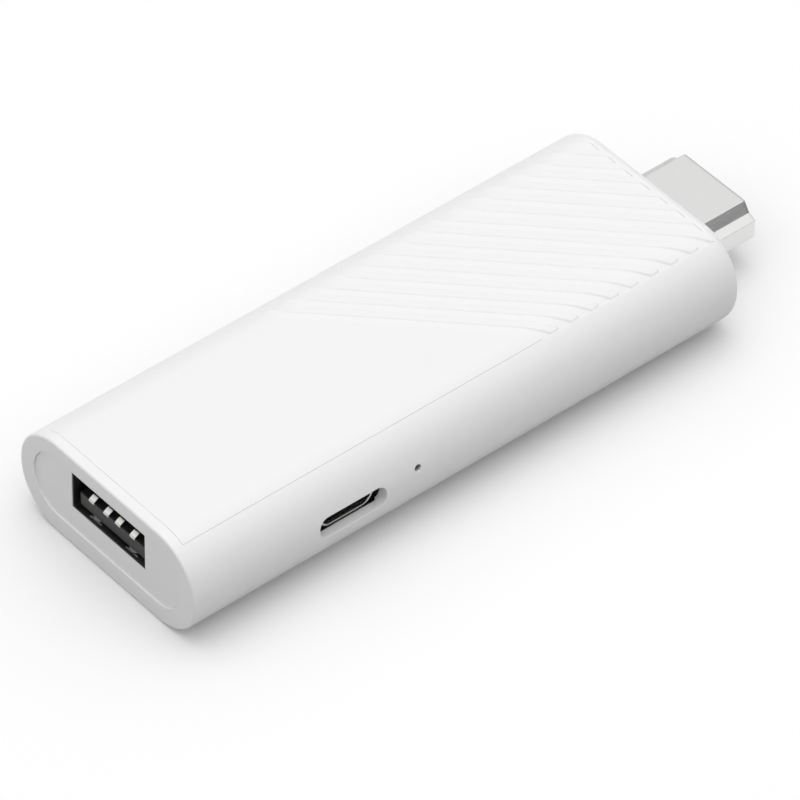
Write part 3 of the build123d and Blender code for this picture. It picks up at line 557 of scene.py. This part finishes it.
# Metallic and roughness are the shader's own. Grain is its size and bump its height, both in
# millimetres. Waver is how far the roughness swings, mottle how much darker the clouds in the
# colour are, and drawn the scale of the grain along the stick.
Look = namedtuple("Look", "metallic roughness grain waver bump mottle drawn", defaults=(1,))
LOOKS = {
    "white_case_plastic": Look(0, 0.42, grain=0.18, waver=0.05, bump=0.0016, mottle=0.006),
    "nickel_plating": Look(1, 0.24, grain=0.2, waver=0.04, bump=0.0008, mottle=0.02, drawn=0.12),
    # The USB-A shell's nickel, its colour darkened to paint the shade inside the socket
    "dull_nickel": Look(1, 0.38, grain=0.2, waver=0.05, bump=0.0008, mottle=0.04, drawn=0.12),
    "contact_gold": Look(1, 0.2, grain=0.1, waver=0.05, bump=0.0005, mottle=0.03),
    "contact_tin": Look(1, 0.3, grain=0.1, waver=0.05, bump=0.0005, mottle=0.03),
    "connector_black": Look(0, 0.5, grain=0.12, waver=0.06, bump=0.0015, mottle=0.1),
    "solder_mask": Look(0, 0.3, grain=0.6, waver=0.08, bump=0.02, mottle=0.25),
    "tinned_steel": Look(1, 0.35, grain=0.3, waver=0.08, bump=0.002, mottle=0.06, drawn=0.2),
    "chip_epoxy": Look(0, 0.6, grain=0.15, waver=0.08, bump=0.006, mottle=0.15),
    "thermal_rubber": Look(0, 0.75, grain=0.4, waver=0.05, bump=0.01, mottle=0.1),
    "mill_aluminium": Look(1, 0.32, grain=0.3, waver=0.08, bump=0.002, mottle=0.05, drawn=0.08),
    "ferrite": Look(0.2, 0.65, grain=0.2, waver=0.1, bump=0.01, mottle=0.2),
    "ceramic": Look(0, 0.5, grain=0.2, waver=0.06, bump=0.004, mottle=0.1),
    "button_plastic": Look(0, 0.45, grain=0.2, waver=0.05, bump=0.002, mottle=0.02),
}


def add_node(tree, kind, place, **values):
    """A shader node at a place in the tree, with its inputs set."""
    node = tree.nodes.new(kind)
    node.location = place
    for name, value in values.items():
        node.inputs[name.replace("_", " ")].default_value = value
    return node


def finish(name):
    """A procedural finish: grain in its bump and roughness, and clouds in its colour."""
    if name in bpy.data.materials:
        return bpy.data.materials[name]
    look = LOOKS[name]
    tone = tuple(getattr(bpy.context.scene.stick_finishes, name))
    material = bpy.data.materials.new(name)
    material.use_nodes = True
    material.diffuse_color = (*tone, 1)
    tree = material.node_tree
    link = tree.links.new
    shader = tree.nodes["Principled BSDF"]
    shader.inputs["Metallic"].default_value = look.metallic
    place = add_node(tree, "ShaderNodeTexCoord", (-1200, 0)).outputs["Object"]
    drawn = add_node(tree, "ShaderNodeMapping", (-1000, 0), Scale=(look.drawn, 1, 1))
    link(place, drawn.inputs["Vector"])
    grains = add_node(
        tree, "ShaderNodeTexNoise", (-800, -300), Scale=MILLIMETRES / look.grain, Detail=3.0
    )
    link(drawn.outputs["Vector"], grains.inputs["Vector"])
    clouds = add_node(tree, "ShaderNodeTexNoise", (-800, 200), Scale=250.0, Detail=4.0)
    link(place, clouds.inputs["Vector"])
    darker = [value * (1 - look.mottle) for value in tone]
    tint = add_node(
        tree, "ShaderNodeMixRGB", (-400, 300), Color1=(*darker, 1), Color2=(*tone, 1)
    )
    link(clouds.outputs["Fac"], tint.inputs["Fac"])
    link(tint.outputs["Color"], shader.inputs["Base Color"])
    rough = add_node(
        tree,
        "ShaderNodeMapRange",
        (-400, 0),
        From_Min=0.3,
        From_Max=0.7,
        To_Min=look.roughness - look.waver,
        To_Max=look.roughness + look.waver,
    )
    link(grains.outputs["Fac"], rough.inputs["Value"])
    link(rough.outputs["Result"], shader.inputs["Roughness"])
    relief = add_node(
        tree, "ShaderNodeBump", (-400, -300), Strength=0.6, Distance=look.bump / MILLIMETRES
    )
    link(grains.outputs["Fac"], relief.inputs["Height"])
    link(relief.outputs["Normal"], shader.inputs["Normal"])
    return material


# Pieces


def plug_section(name, start, end, inset):
    """The plug's outline as an open bar along X, its narrow flat up, drawn in by inset."""
    plug = Sizes("stick_plug")
    bar = block(name, start, end, plug.width, plug.bottom, plug.bottom + plug.side_height)
    choose(bar, "FACE", facing(Z, UP))
    rises = (plug.shelf_rise, plug.steep_rise)
    widths = (plug.width, plug.width - 2 * plug.shelf_reach, plug.flat_width)
    for rise, before, after in zip(rises, widths, widths[1:]):
        extrude(0, 0, rise)
        bpy.ops.transform.resize(value=(1, after / before, 1))
    close_edit()
    remove_faces(bar, facing(X))
    round_edges(
        bar,
        lambda first, second: along(X)(first, second) and first.z < plug.bottom + TINY,
        plug.bottom_bend,
        segments=6,
    )
    if inset:
        open_all(bar)
        bpy.ops.transform.shrink_fatten(value=-inset, use_even_offset=True)
        close_edit()
    return bar


def cap(bar):
    """Close the open ends of a bar."""
    open_all(bar)
    bpy.ops.mesh.select_mode(type="EDGE")
    bpy.ops.mesh.select_all(action="DESELECT")
    bpy.ops.mesh.select_non_manifold()
    bpy.ops.mesh.edge_face_add()
    close_edit()


def usb_block(name, start, end, growth):
    """A block as wide and high as the USB-A opening, grown all round."""
    sockets = Sizes("stick_sockets")
    width = sockets.usb_width + 2 * growth
    half_height = sockets.usb_height / 2 + growth
    middle = sockets.usb_middle
    return block(name, start, end, width, middle - half_height, middle + half_height)


def solder_tabs(start, end, near, far, sheet):
    """Two tabs that lie on the board, from near to far on both sides of the middle line."""
    bottom = node_box("main_board")[1].z + SOLDER
    top = bottom + sheet
    return [
        cuboid("tab", (start, -far, bottom), (end, -near, top)),
        cuboid("tab", (start, near, bottom), (end, far, top)),
    ]


class STICK_OT_case_shell(Operator):
    """Model the lower case: round sides, openings, ledge, bosses and rests"""

    bl_idname = "stick.case_shell"
    bl_label = "Case shell"

    def execute(self, context):
        case = Sizes("stick_case")
        sockets = Sizes("stick_sockets")
        segments = context.scene.stick_case.segments
        low, high = node_box("housing")
        shell = rounded_bar("case_shell", low, high, case.side_radius, segments)
        round_edges(shell, in_plane(X, low.x), case.usb_edge, segments=4)
        # Seven segments, so that none of their edges lies in the soft edge of the recess
        round_edges(shell, in_plane(X, high.x), case.plug_edge, segments=7)
        self.side_rings(shell, sockets)
        start = low.x + case.usb_end_wall
        end = high.x - case.plug_end_wall
        inner_low = Vector((start, low.y + case.wall, low.z + case.wall))
        inner_high = Vector((end, high.y - case.wall, high.z - case.wall))
        inner_radius = case.side_radius - case.wall
        hollow = rounded_bar("hollow", inner_low, inner_high, inner_radius, segments)
        shoulder = high.z - case.shoulder
        slice_off(hollow, (0, 0, shoulder), (0, 0, 1))
        recess_start = low.x + case.cover_usb
        recess_end = high.x - case.cover_plug
        recess_width = 2 * (high.y - case.cover_side)
        door_width = recess_width - 2 * case.ledge_width
        above = high.z + case.wall
        cut(
            shell,
            hollow,
            block("door", start, end, door_width, shoulder - case.wall, above),
            block("recess", recess_start, recess_end, recess_width, high.z - case.ledge, above),
        )
        self.usb_doorways(shell, case, sockets, low.x - case.wall, start + case.wall)
        gap = Sizes("stick_plug").doorway_gap
        doorway = plug_section("plug_doorway", end - case.wall, high.x + case.wall, -gap)
        cap(doorway)
        cut(shell, doorway)
        self.side_openings(shell, case, sockets, low.y)
        add_posts(shell, low.z + case.wall)
        complete(shell, "white_case_plastic", ["housing"], case.soft_edge)
        return {"FINISHED"}

    def side_rings(self, shell, sockets):
        """Rings beside the side's openings, which keep the shading of the side even."""
        half_widths = {
            "micro_usb_shell": sockets.micro_width / 2,
            "reset_button": sockets.pinhole,
        }
        for node, half_width in half_widths.items():
            low, high = node_box(node)
            middle = (low.x + high.x) / 2
            ring(shell, X, middle - half_width - sockets.pinhole)
            ring(shell, X, middle + half_width + sockets.pinhole)

    def usb_doorways(self, shell, case, sockets, outside, inside):
        """The end plate's seat, and the doorways of the plate and of the USB-A socket."""
        plate_low, plate_high = node_box("usb_end_plate")
        gap = Vector((0, case.plate_gap, case.plate_gap))
        seat_low = Vector((outside, plate_low.y, plate_low.z)) - gap
        seat_high = plate_high + gap
        corner = case.plate_corner + case.plate_gap
        inset = Vector((0, case.plate_seat, case.plate_seat))
        door_low = seat_low + inset
        door_high = seat_high - inset
        door_high.x = inside
        door_corner = corner - case.plate_seat
        cut(
            shell,
            rounded_bar("plate_seat", seat_low, seat_high, corner, segments=16),
            rounded_bar("plate_doorway", door_low, door_high, door_corner, segments=16),
            usb_block("usb_doorway", outside, inside, sockets.usb_sheet + 2 * case.plate_gap),
        )

    def side_openings(self, shell, case, sockets, side):
        """The micro-USB mouth, the room round its shell, and the pinhole."""
        sleeve_low, sleeve_high = node_box("micro_usb_shell")
        middle = (sleeve_low + sleeve_high) / 2
        half_width = sockets.micro_width / 2
        half_height = sockets.micro_height / 2
        outside = side - case.wall
        inside = sleeve_low.y + sockets.micro_corner
        mouth = cuboid(
            "micro_mouth",
            (middle.x - half_width, outside, middle.z - half_height),
            (middle.x + half_width, inside, middle.z + half_height),
        )
        round_edges(mouth, along(Y), sockets.micro_corner, segments=12)
        relief = Vector((sockets.relief, 0, sockets.relief))
        relief_low = sleeve_low - relief
        relief_low.y = sleeve_low.y - sockets.relief / 2
        relief_high = sleeve_high + relief
        relief_high.y = inside
        cut(shell, mouth, cuboid("micro_relief", relief_low, relief_high))
        button_low, button_high = node_box("reset_button")
        hole = (button_low + button_high) / 2
        depth = case.side_radius
        # The pinhole widens behind the surface, which keeps it dark
        widths = ((sockets.pinhole, outside), (2 * sockets.pinhole, side + sockets.pinhole))
        for radius, front in widths:
            hole.y = front + depth / 2
            cut(shell, cylinder("drill", hole, radius, depth, vertices=40, tilt=math.pi / 2))


def add_posts(shell, floor):
    """Screw bosses, rests and saddles that stand on the floor of the case."""
    sunk = 0.2
    height = node_box("main_board")[0].z - floor + sunk
    boss_radius = 1.9
    bore_radius = 0.73
    rest_radius = 1.1
    saddle_width = 10.0
    saddle_sheet = 1.0
    bosses = ((-26.1, 8.0), (-7.2, -8.2), (26.6, 8.6))
    rests = ((-37.6, 8.4), (-37.6, -8.4), (24.6, -8.2))
    saddles = (("usb_a_shell", -36.1, 0.05), ("hdmi_shell", 30.4, 0.12))

    def post(x, y, foot, radius):
        """A round bar that stands on a foot."""
        return cylinder("post", (x, y, foot + height / 2), radius, height, vertices=48)

    for x, y in bosses:
        unite(shell, post(x, y, floor - sunk, boss_radius))
        cut(shell, post(x, y, floor, bore_radius))
    for x, y in rests:
        unite(shell, post(x, y, floor - sunk, rest_radius))
    for node, x, play in saddles:
        top = node_box(node)[0].z - play
        unite(shell, block("saddle", x, x + saddle_sheet, saddle_width, floor - sunk, top))


class STICK_OT_ribbed_cover(Operator):
    """Model the inset cover: smooth zone, slanted ribs with rounded ends, and snap hooks"""

    bl_idname = "stick.ribbed_cover"
    bl_label = "Ribbed cover"

    def execute(self, context):
        case = Sizes("stick_case")
        slant = context.scene.stick_case.rib_slant
        segments = context.scene.stick_case.segments
        low, high = node_box("housing")
        ledge = high.z - case.ledge
        gap = Vector((case.seam / 2, case.seam, 0))
        cover = rounded_bar("ribbed_cover", low, high, case.side_radius, segments)
        cover_low = low + Vector((case.cover_usb, case.cover_side, 0)) + gap
        cover_high = high - Vector((case.cover_plug, case.cover_side, 0)) - gap
        plan_low = Vector((cover_low.x, cover_low.y, ledge))
        plan_high = Vector((cover_high.x, cover_high.y, high.z + case.wall))
        combine(cover, cuboid("plan", plan_low, plan_high), "INTERSECT")
        # The grooves are one cutter: the ribbed zone down to the groove floors, less the ribs
        margin = Vector((case.wall, case.wall, -case.hook_play))
        rim = Vector((case.cover_rim, case.cover_rim, 0))
        grooves = cuboid("grooves", plan_low - margin, plan_high - rim)
        zone_start = low.x + case.groove_start
        slice_off(grooves, (zone_start, 0, 0), (math.sin(slant), -math.cos(slant), 0))
        # Their floor dips towards the micro-USB side and rises to the surface at the other
        near_depth = Vector((0, case.groove_side, case.groove_depth))
        far_depth = Vector((0, case.groove_depth, case.groove_depth))
        floor_radius = case.side_radius - case.groove_side
        floor_low = low + near_depth
        floor_high = high - far_depth
        cut(grooves, rounded_bar("groove_floor", floor_low, floor_high, floor_radius, segments))
        rib_step = case.rib_pitch / math.cos(slant)
        rib_span = case.rib_width / math.cos(slant)
        first = zone_start + rib_step - rib_span / 2
        rib = self.rib(case, slant, first, cover_low.y, cover_high.y, high)
        last = cover_high.x + cover_high.y - rib_span
        for number in range(int((last - first) / rib_step) + 1):
            cut(grooves, copy(rib, (number * rib_step, 0, 0)))
        bpy.data.objects.remove(rib)
        cut(cover, grooves)
        unite(cover, *self.undersides(case, low, high, ledge))
        complete(
            cover, "white_case_plastic", ["top_cover"], soft_edge=0, facet=14.0
        )
        return {"FINISHED"}

    def rib(self, case, slant, place, near, far, high):
        """One rib, clipped at the cover's sides, rounded at its ends, sloped and bent over."""
        half_length = 2 * (far - near)
        half_width = (case.rib_width + case.groove_slope) / 2
        rib = cuboid(
            "rib",
            (place - half_length, -half_width, high.z - case.ledge - 2 * case.wall),
            (place + half_length, half_width, high.z - case.groove_depth),
        )
        turn(rib, -slant, place)
        slice_off(rib, (0, near - case.seam, 0), (0, -1, 0))
        slice_off(rib, (0, far + case.seam, 0), (0, 1, 0))
        round_corners(rib, case.rib_tip, segments=12)
        choose(rib, "FACE", facing(Z, UP))
        just_past_the_surface = 1.1 * case.groove_depth
        bpy.ops.mesh.inset(thickness=case.groove_slope, depth=just_past_the_surface)
        extrude(0, 0, 2 * case.wall)
        close_edit()
        self.bend_down(rib, high.y, case)
        return rib

    def bend_down(self, rib, side, case):
        """Bend a rib's ends down in short steps, as the case's top curves down to its sides."""
        radius = case.side_radius
        start = side - radius
        steps = 14
        reach = (radius - case.cover_side) / steps
        for step in range(-steps, steps + 1):
            ring(rib, Y, math.copysign(start, step) + step * reach)
        for place in {round(vertex.co.y, DECIMALS) for vertex in rib.data.vertices}:
            across = max(abs(place) - start, 0)
            drop = math.sqrt(radius ** 2 - across ** 2) - radius
            choose(rib, "VERT", lambda point: round(point.y, DECIMALS) == place)
            bpy.ops.transform.translate(value=(0, 0, drop))
            close_edit()

    def undersides(self, case, low, high, ledge):
        """The snap hooks and the two ribs that press on the heat spreader."""
        hook_places = (16.0, 38.0, 57.0, high.x - low.x - 6.5)
        press_places = (43.5, 59.5)
        press_drop = 1.83
        press_sheet = 1.0
        press_width = 12.0
        outer = high.y - case.cover_side - case.ledge_width - case.hook_play
        inner = outer - case.hook_sheet
        catch = high.z - case.shoulder - case.hook_play
        barb = outer + case.hook_play + case.hook_barb
        foot = catch - case.barb_height
        root = ledge + case.hook_play
        half = case.hook_width / 2
        hook = cuboid("hook", (-half, inner, foot), (half, outer, root))
        inside = outer - case.hook_play
        nose = cuboid("barb", (-half, inside - case.hook_play, foot), (half, barb, catch))
        slice_off(nose, (0, inside, foot), (0, case.barb_height, inside - barb))
        unite(hook, nose)
        tools = []
        for place in hook_places:
            far = copy(hook, (low.x + place, 0, 0))
            near = copy(far, (0, 0, 0))
            turn(near, math.pi, low.x + place)
            tools += [far, near]
        bpy.data.objects.remove(hook)
        for place in press_places:
            start = low.x + place
            end = start + press_sheet
            tools.append(block("press", start, end, press_width, ledge - press_drop, root))
        return tools


class STICK_OT_end_panel(Operator):
    """Model the plate round the USB-A opening"""

    bl_idname = "stick.end_panel"
    bl_label = "End plate"

    def execute(self, context):
        case = Sizes("stick_case")
        low, high = node_box("usb_end_plate")
        panel = rounded_bar("end_panel", low, high, case.plate_corner, segments=20)
        room = Sizes("stick_sockets").usb_sheet + case.plate_gap
        beyond = high.x + case.wall
        cut(
            panel,
            usb_block("window", low.x - case.wall, beyond, 0),
            usb_block("step", low.x + case.plate_lip, beyond, room),
        )
        complete(panel, "white_case_plastic", ["usb_end_plate"], case.soft_edge)
        return {"FINISHED"}


class STICK_OT_usb_socket(Operator):
    """Model the USB-A socket: folded shell with spring fingers, tongue and sprung contacts"""

    bl_idname = "stick.usb_socket"
    bl_label = "USB-A socket"

    def execute(self, context):
        sockets = Sizes("stick_sockets")
        self.shell(sockets, Sizes("stick_case"))
        blade_bottom = sockets.usb_middle - sockets.usb_height / 2 + sockets.blade_lift
        blade_top = blade_bottom + sockets.blade_height
        self.tongue(sockets, blade_bottom, blade_top)
        self.contacts(sockets, blade_top)
        return {"FINISHED"}

    def shell(self, sockets, case):
        """The shell with its slots, fingers and legs."""
        low, high = node_box("usb_a_shell")
        behind_the_lip = 1.2 * case.plate_lip
        mouth = node_box("usb_end_plate")[0].x + behind_the_lip
        half_height = sockets.usb_height / 2
        middle = sockets.usb_middle
        sheet = sockets.usb_sheet
        shell = usb_block("usb_sleeve", mouth, high.x, sheet)
        round_edges(shell, along(X), 2 * sheet, segments=5)
        sleeve(shell, X, sheet)
        front = low.x + sockets.spring_front
        half_slot = sockets.spring_width / 2
        for side in (-1, 1):
            place = side * sockets.spring_place
            window = cuboid(
                "window",
                (front, place - half_slot, middle - 2 * half_height),
                (front + sockets.spring_length, place + half_slot, middle + 2 * half_height),
            )
            cut(shell, window)
        parts = []
        for way in (1, -1):
            level = middle - way * (half_height + sheet / 2)
            finger = self.finger(sockets, front, level, way)
            for side in (-1, 1):
                parts.append(copy(finger, (0, side * sockets.spring_place, 0)))
            bpy.data.objects.remove(finger)
        leg_starts = (-40.2, -34.0)
        leg_width = 1.6
        root = (sockets.usb_width + sheet) / 2
        for start in leg_starts:
            parts += solder_tabs(start, start + leg_width, root, high.y, sheet)
        unite(shell, *parts)
        # The shell gets the darkened nickel, whose low colour paints the shade inside the socket
        complete(shell, "dull_nickel", ["usb_a_shell"], soft_edge=sheet / 6)

    def finger(self, sockets, front, level, way):
        """A spring finger on the middle line at a level, bulging down or up, with a round tip."""
        sheet = sockets.usb_sheet
        nose = front + sockets.spring_slit
        crest = nose + sockets.spring_slope
        path = (
            (front + sockets.spring_length + sheet / 2, 0, level),
            (crest + sockets.spring_slope, 0, level),
            (crest, 0, level + way * sockets.spring_bulge),
            (nose, 0, level - way * sheet / 4),
        )
        width = sockets.spring_width - 2 * sockets.spring_slit
        # A little thinner than the shell, so that no two faces lie in one plane
        thinner = 0.98 * sheet
        tip_radius = 0.47 * width
        finger = ribbon("finger", path, width, thinner, bend=sockets.spring_slope / 3)
        round_edges(
            finger,
            lambda first, second: abs(second.y - first.y) < TINY
            and max(first.x, second.x) < nose + sheet,
            tip_radius,
            segments=8,
        )
        return finger

    def tongue(self, sockets, bottom, top):
        """The insulator's rear wall and its blade."""
        low, high = node_box("usb_a_tongue")
        wall = 2.0
        blade_edge = 0.12
        wall_low = (high.x - wall, low.y, low.z)
        tongue = rounded_bar("usb_tongue", wall_low, high, sockets.usb_sheet, segments=4)
        blade = block("blade", low.x, high.x - wall / 2, sockets.blade_width, bottom, top)
        round_edges(blade, in_plane(X, low.x), blade_edge, segments=3)
        unite(tongue, blade)
        complete(tongue, "connector_black", ["usb_a_tongue"], soft_edge=0.03)

    def contacts(self, sockets, blade_top):
        """Four sprung strips over the tongue, with feet on the board."""
        low, high = node_box("usb_a_contacts")
        tongue_low, tongue_high = node_box("usb_a_tongue")
        places = (-3.5, -1.0, 1.0, 3.5)
        front_lip = 0.06
        crest = 0.7
        settle = 1.4
        play = 0.15
        bend_radius = 0.16
        half = sockets.contact_sheet / 2
        run = blade_top + half
        front = low.x + half
        rear = tongue_high.x + play + half
        path = (
            (front, 0, run - half - front_lip),
            (front, 0, run),
            (tongue_low.x + crest, 0, high.z - half),
            (tongue_low.x + settle, 0, run),
            (rear, 0, run),
            (rear, 0, low.z + half),
            (high.x, 0, low.z + half),
        )
        strip = ribbon("strip", path, sockets.contact_width, sockets.contact_sheet, bend_radius)
        strips = [copy(strip, (0, place, 0)) for place in places]
        bpy.data.objects.remove(strip)
        contacts = gather("usb_spring_contacts", strips)
        complete(contacts, "contact_tin", ["usb_a_contacts"], soft_edge=0)


class STICK_OT_hdmi_plug(Operator):
    """Model the HDMI plug: drawn shell with ears, and insulator with its slot"""

    bl_idname = "stick.hdmi_plug"
    bl_label = "HDMI plug"

    def execute(self, context):
        plug = Sizes("stick_plug")
        low, high = node_box("hdmi_shell")
        core_low, core_high = node_box("hdmi_insulator")
        middle = (low.z + high.z) / 2
        behind_the_core = 0.2
        slot_back = 2.0
        past_the_mouth = 1.0
        self.shell(plug, low, high, middle, core_low.x - behind_the_core)
        core = plug_section("plug_core", core_low.x, core_high.x, plug.sheet + plug.liner_gap)
        cap(core)
        start = core_low.x + slot_back
        end = core_high.x + past_the_mouth
        bottom = middle - plug.slot_height / 2
        top = middle + plug.slot_height / 2
        cut(core, block("slot", start, end, plug.slot_width, bottom, top))
        complete(core, "connector_black", ["hdmi_insulator"], soft_edge=0.05)
        return {"FINISHED"}

    def shell(self, plug, low, high, middle, start):
        """The drawn shell, its mouth drawn in by short steps, with its two solder ears."""
        step = 0.15
        insets = (0.008, 0.02, 0.04)
        ear_width = 1.4
        ear_lap = 0.1
        place = high.x - step * len(insets)
        shell = plug_section("plug_sleeve", start, place, 0)
        choose(shell, "EDGE", in_plane(X, place))
        for inset in insets:
            extrude(step, 0, 0)
            place += step
            shrink = (1, 1 - inset / high.y, 1 - inset / (high.z - middle))
            bpy.ops.transform.resize(value=shrink, center_override=(place, 0, middle))
        close_edit()
        thicken(shell, plug.sheet, INWARDS)
        ear_end = start + ear_lap
        unite(shell, *solder_tabs(low.x, ear_end, high.y - ear_width, high.y, plug.sheet))
        complete(
            shell, "nickel_plating", ["hdmi_shell"], soft_edge=0.06, crease=20.0
        )


class STICK_OT_micro_socket(Operator):
    """Model the micro-USB socket's sleeve in the side"""

    bl_idname = "stick.micro_socket"
    bl_label = "Micro-USB socket"

    def execute(self, context):
        sockets = Sizes("stick_sockets")
        low, high = node_box("micro_usb_shell")
        step = low.z + sockets.micro_shoulder
        shell = cuboid("side_sleeve", (low.x, low.y, step), high)
        choose(shell, "FACE", facing(Z, DOWN))
        extrude(0, 0, -sockets.micro_shoulder)
        narrow = sockets.micro_sole / (high.x - low.x)
        bpy.ops.transform.resize(value=(narrow, 1, 1))
        close_edit()
        round_edges(shell, along(Y), sockets.micro_bend, segments=6)
        sleeve(shell, Y, sockets.micro_sheet)
        complete(shell, "nickel_plating", ["micro_usb_shell"], soft_edge=0.05)
        return {"FINISHED"}


class STICK_OT_inner_finishes(Operator):
    """Give the CAD pieces that stay their finishes"""

    bl_idname = "stick.inner_finishes"
    bl_label = "Inner finishes"

    def execute(self, context):
        by_slot = {
            "board_laminate": "solder_mask",
            "steel": "tinned_steel",
            "chip_epoxy": "chip_epoxy",
            "thermal_rubber": "thermal_rubber",
            "aluminium": "mill_aluminium",
            "ferrite": "ferrite",
            "ceramic": "ceramic",
            "button_plastic": "button_plastic",
            "plated_steel": "nickel_plating",
            "contact_metal": "contact_gold",
            "black_plastic": "connector_black",
            "case_plastic": "white_case_plastic",
        }
        for entry in frame["record"]["subparts"]:
            node = frame["nodes"][entry["node"]]
            for place in node.material_slots:
                place.material = finish(by_slot[entry["material_slot"]])
        return {"FINISHED"}


class STICK_OT_studio(Operator):
    """Set up the camera, the pale floor and the soft light"""

    bl_idname = "stick.studio"
    bl_label = "Studio"

    def execute(self, context):
        studio = context.scene.stick_studio
        self.camera(context, studio)
        self.floor(studio)
        self.lamp(studio)
        self.sky(context)
        context.scene.view_settings.view_transform = "Standard"
        return {"FINISHED"}

    def camera(self, context, studio):
        """The camera of the photograph."""
        deselect()
        bpy.ops.object.camera_add(location=studio.camera_place, rotation=studio.camera_turn)
        camera = context.object
        camera.data.lens = studio.lens
        camera.data.sensor_width = 36.0
        camera.data.clip_start = 0.01
        camera.data.clip_end = 20.0
        context.scene.camera = camera

    def floor(self, studio):
        """A matt floor that looks white and throws less light back than it shows."""
        deselect()
        just_below = -0.00002
        bpy.ops.mesh.primitive_plane_add(size=studio.floor_size, location=(0, 0, just_below))
        floor = bpy.context.object
        floor.name = "floor"
        material = bpy.data.materials.new("pale_floor")
        material.use_nodes = True
        tree = material.node_tree
        link = tree.links.new
        shader = tree.nodes["Principled BSDF"]
        shader.inputs["Roughness"].default_value = 0.9
        shader.inputs["Specular IOR Level"].default_value = 0.0
        paths = add_node(tree, "ShaderNodeLightPath", (-900, 0)).outputs
        seen = paths["Is Camera Ray"]
        for place, ray in ((-650, "Is Glossy Ray"), (-450, "Is Transmission Ray")):
            either = add_node(tree, "ShaderNodeMath", (place, 0))
            either.operation = "MAXIMUM"
            link(seen, either.inputs[0])
            link(paths[ray], either.inputs[1])
            seen = either.outputs["Value"]
        thrown = (*studio.floor, 1)
        shown = (*studio.floor_seen, 1)
        tint = add_node(tree, "ShaderNodeMixRGB", (-250, 0), Color1=thrown, Color2=shown)
        link(seen, tint.inputs["Fac"])
        link(tint.outputs["Color"], shader.inputs["Base Color"])
        floor.data.materials.append(material)

    def lamp(self, studio):
        """A wide round lamp overhead, turned to the stick."""
        deselect()
        bpy.ops.object.light_add(type="AREA", location=studio.lamp_place)
        lamp = bpy.context.object
        lamp.data.shape = "DISK"
        lamp.data.size = studio.lamp_size
        lamp.data.energy = studio.lamp_power
        lamp.rotation_euler = Vector(studio.lamp_place).to_track_quat("Z", "Y").to_euler()

    def sky(self, context):
        """A soft sky: a white horizon, dark just above it, and brighter towards the top."""
        world = bpy.data.worlds.new("soft_sky")
        context.scene.world = world
        world.use_nodes = True
        tree = world.node_tree
        link = tree.links.new
        background = tree.nodes["Background"]
        place = add_node(tree, "ShaderNodeTexCoord", (-900, 0))
        split = add_node(tree, "ShaderNodeSeparateXYZ", (-700, 0))
        link(place.outputs["Generated"], split.inputs["Vector"])
        curve = add_node(tree, "ShaderNodeValToRGB", (-500, 0))
        link(split.outputs["Z"], curve.inputs["Fac"])
        # Each stop is a height, from the horizon to the top, and the brightness there
        stops = (
            (0.0, 1.0),
            (0.053, 1.0),
            (0.065, 0.0),
            (0.12, 0.0),
            (0.27, 0.25),
            (0.42, 0.62),
            (0.56, 1.02),
            (0.69, 0.91),
            (0.8, 0.94),
            (0.9, 1.22),
            (1.0, 1.86),
        )
        brightest = max(level for height, level in stops)
        ramp = curve.color_ramp
        while len(ramp.elements) < len(stops):
            ramp.elements.new(0.5)
        for element, (height, level) in zip(ramp.elements, stops):
            element.position = height
            tone = level / brightest
            element.color = (tone, tone, tone, 1)
        link(curve.outputs["Color"], background.inputs["Color"])
        background.inputs["Strength"].default_value = brightest


class STICK_PT_build(Panel):
    """The steps that build the streaming stick"""

    bl_label = "Streaming Stick"
    bl_idname = "STICK_PT_build"
    bl_space_type = "VIEW_3D"
    bl_region_type = "UI"
    bl_category = "Stick"

    def draw(self, context):
        for step in steps:
            self.layout.operator(step.bl_idname)
        for group in groups:
            settings = getattr(context.scene, group)
            column = self.layout.column(heading=settings.bl_rna.name)
            for setting in settings.bl_rna.properties:
                if setting.identifier not in ("rna_type", "name"):
                    column.prop(settings, setting.identifier)


groups = {
    "stick_case": StickCase,
    "stick_sockets": StickSockets,
    "stick_plug": StickPlug,
    "stick_finishes": StickFinishes,
    "stick_studio": StickStudio,
}
steps = (
    STICK_OT_case_shell,
    STICK_OT_ribbed_cover,
    STICK_OT_end_panel,
    STICK_OT_usb_socket,
    STICK_OT_hdmi_plug,
    STICK_OT_micro_socket,
    STICK_OT_inner_finishes,
    STICK_OT_studio,
)


def register():
    """Register the settings, steps and panel."""
    for name, group in groups.items():
        bpy.utils.register_class(group)
        setattr(bpy.types.Scene, name, PointerProperty(type=group))
    for step in steps:
        bpy.utils.register_class(step)
    bpy.utils.register_class(STICK_PT_build)


def unregister():
    """Take the panel, steps and settings away again."""
    bpy.utils.unregister_class(STICK_PT_build)
    for step in reversed(steps):
        bpy.utils.unregister_class(step)
    for name, group in groups.items():
        delattr(bpy.types.Scene, name)
        bpy.utils.unregister_class(group)


def main():
    """Build every piece."""
    register()
    bpy.ops.stick.case_shell()
    bpy.ops.stick.ribbed_cover()
    bpy.ops.stick.end_panel()
    bpy.ops.stick.usb_socket()
    bpy.ops.stick.hdmi_plug()
    bpy.ops.stick.micro_socket()
    bpy.ops.stick.inner_finishes()
    bpy.ops.stick.studio()


if __name__ == "__main__":
    main()
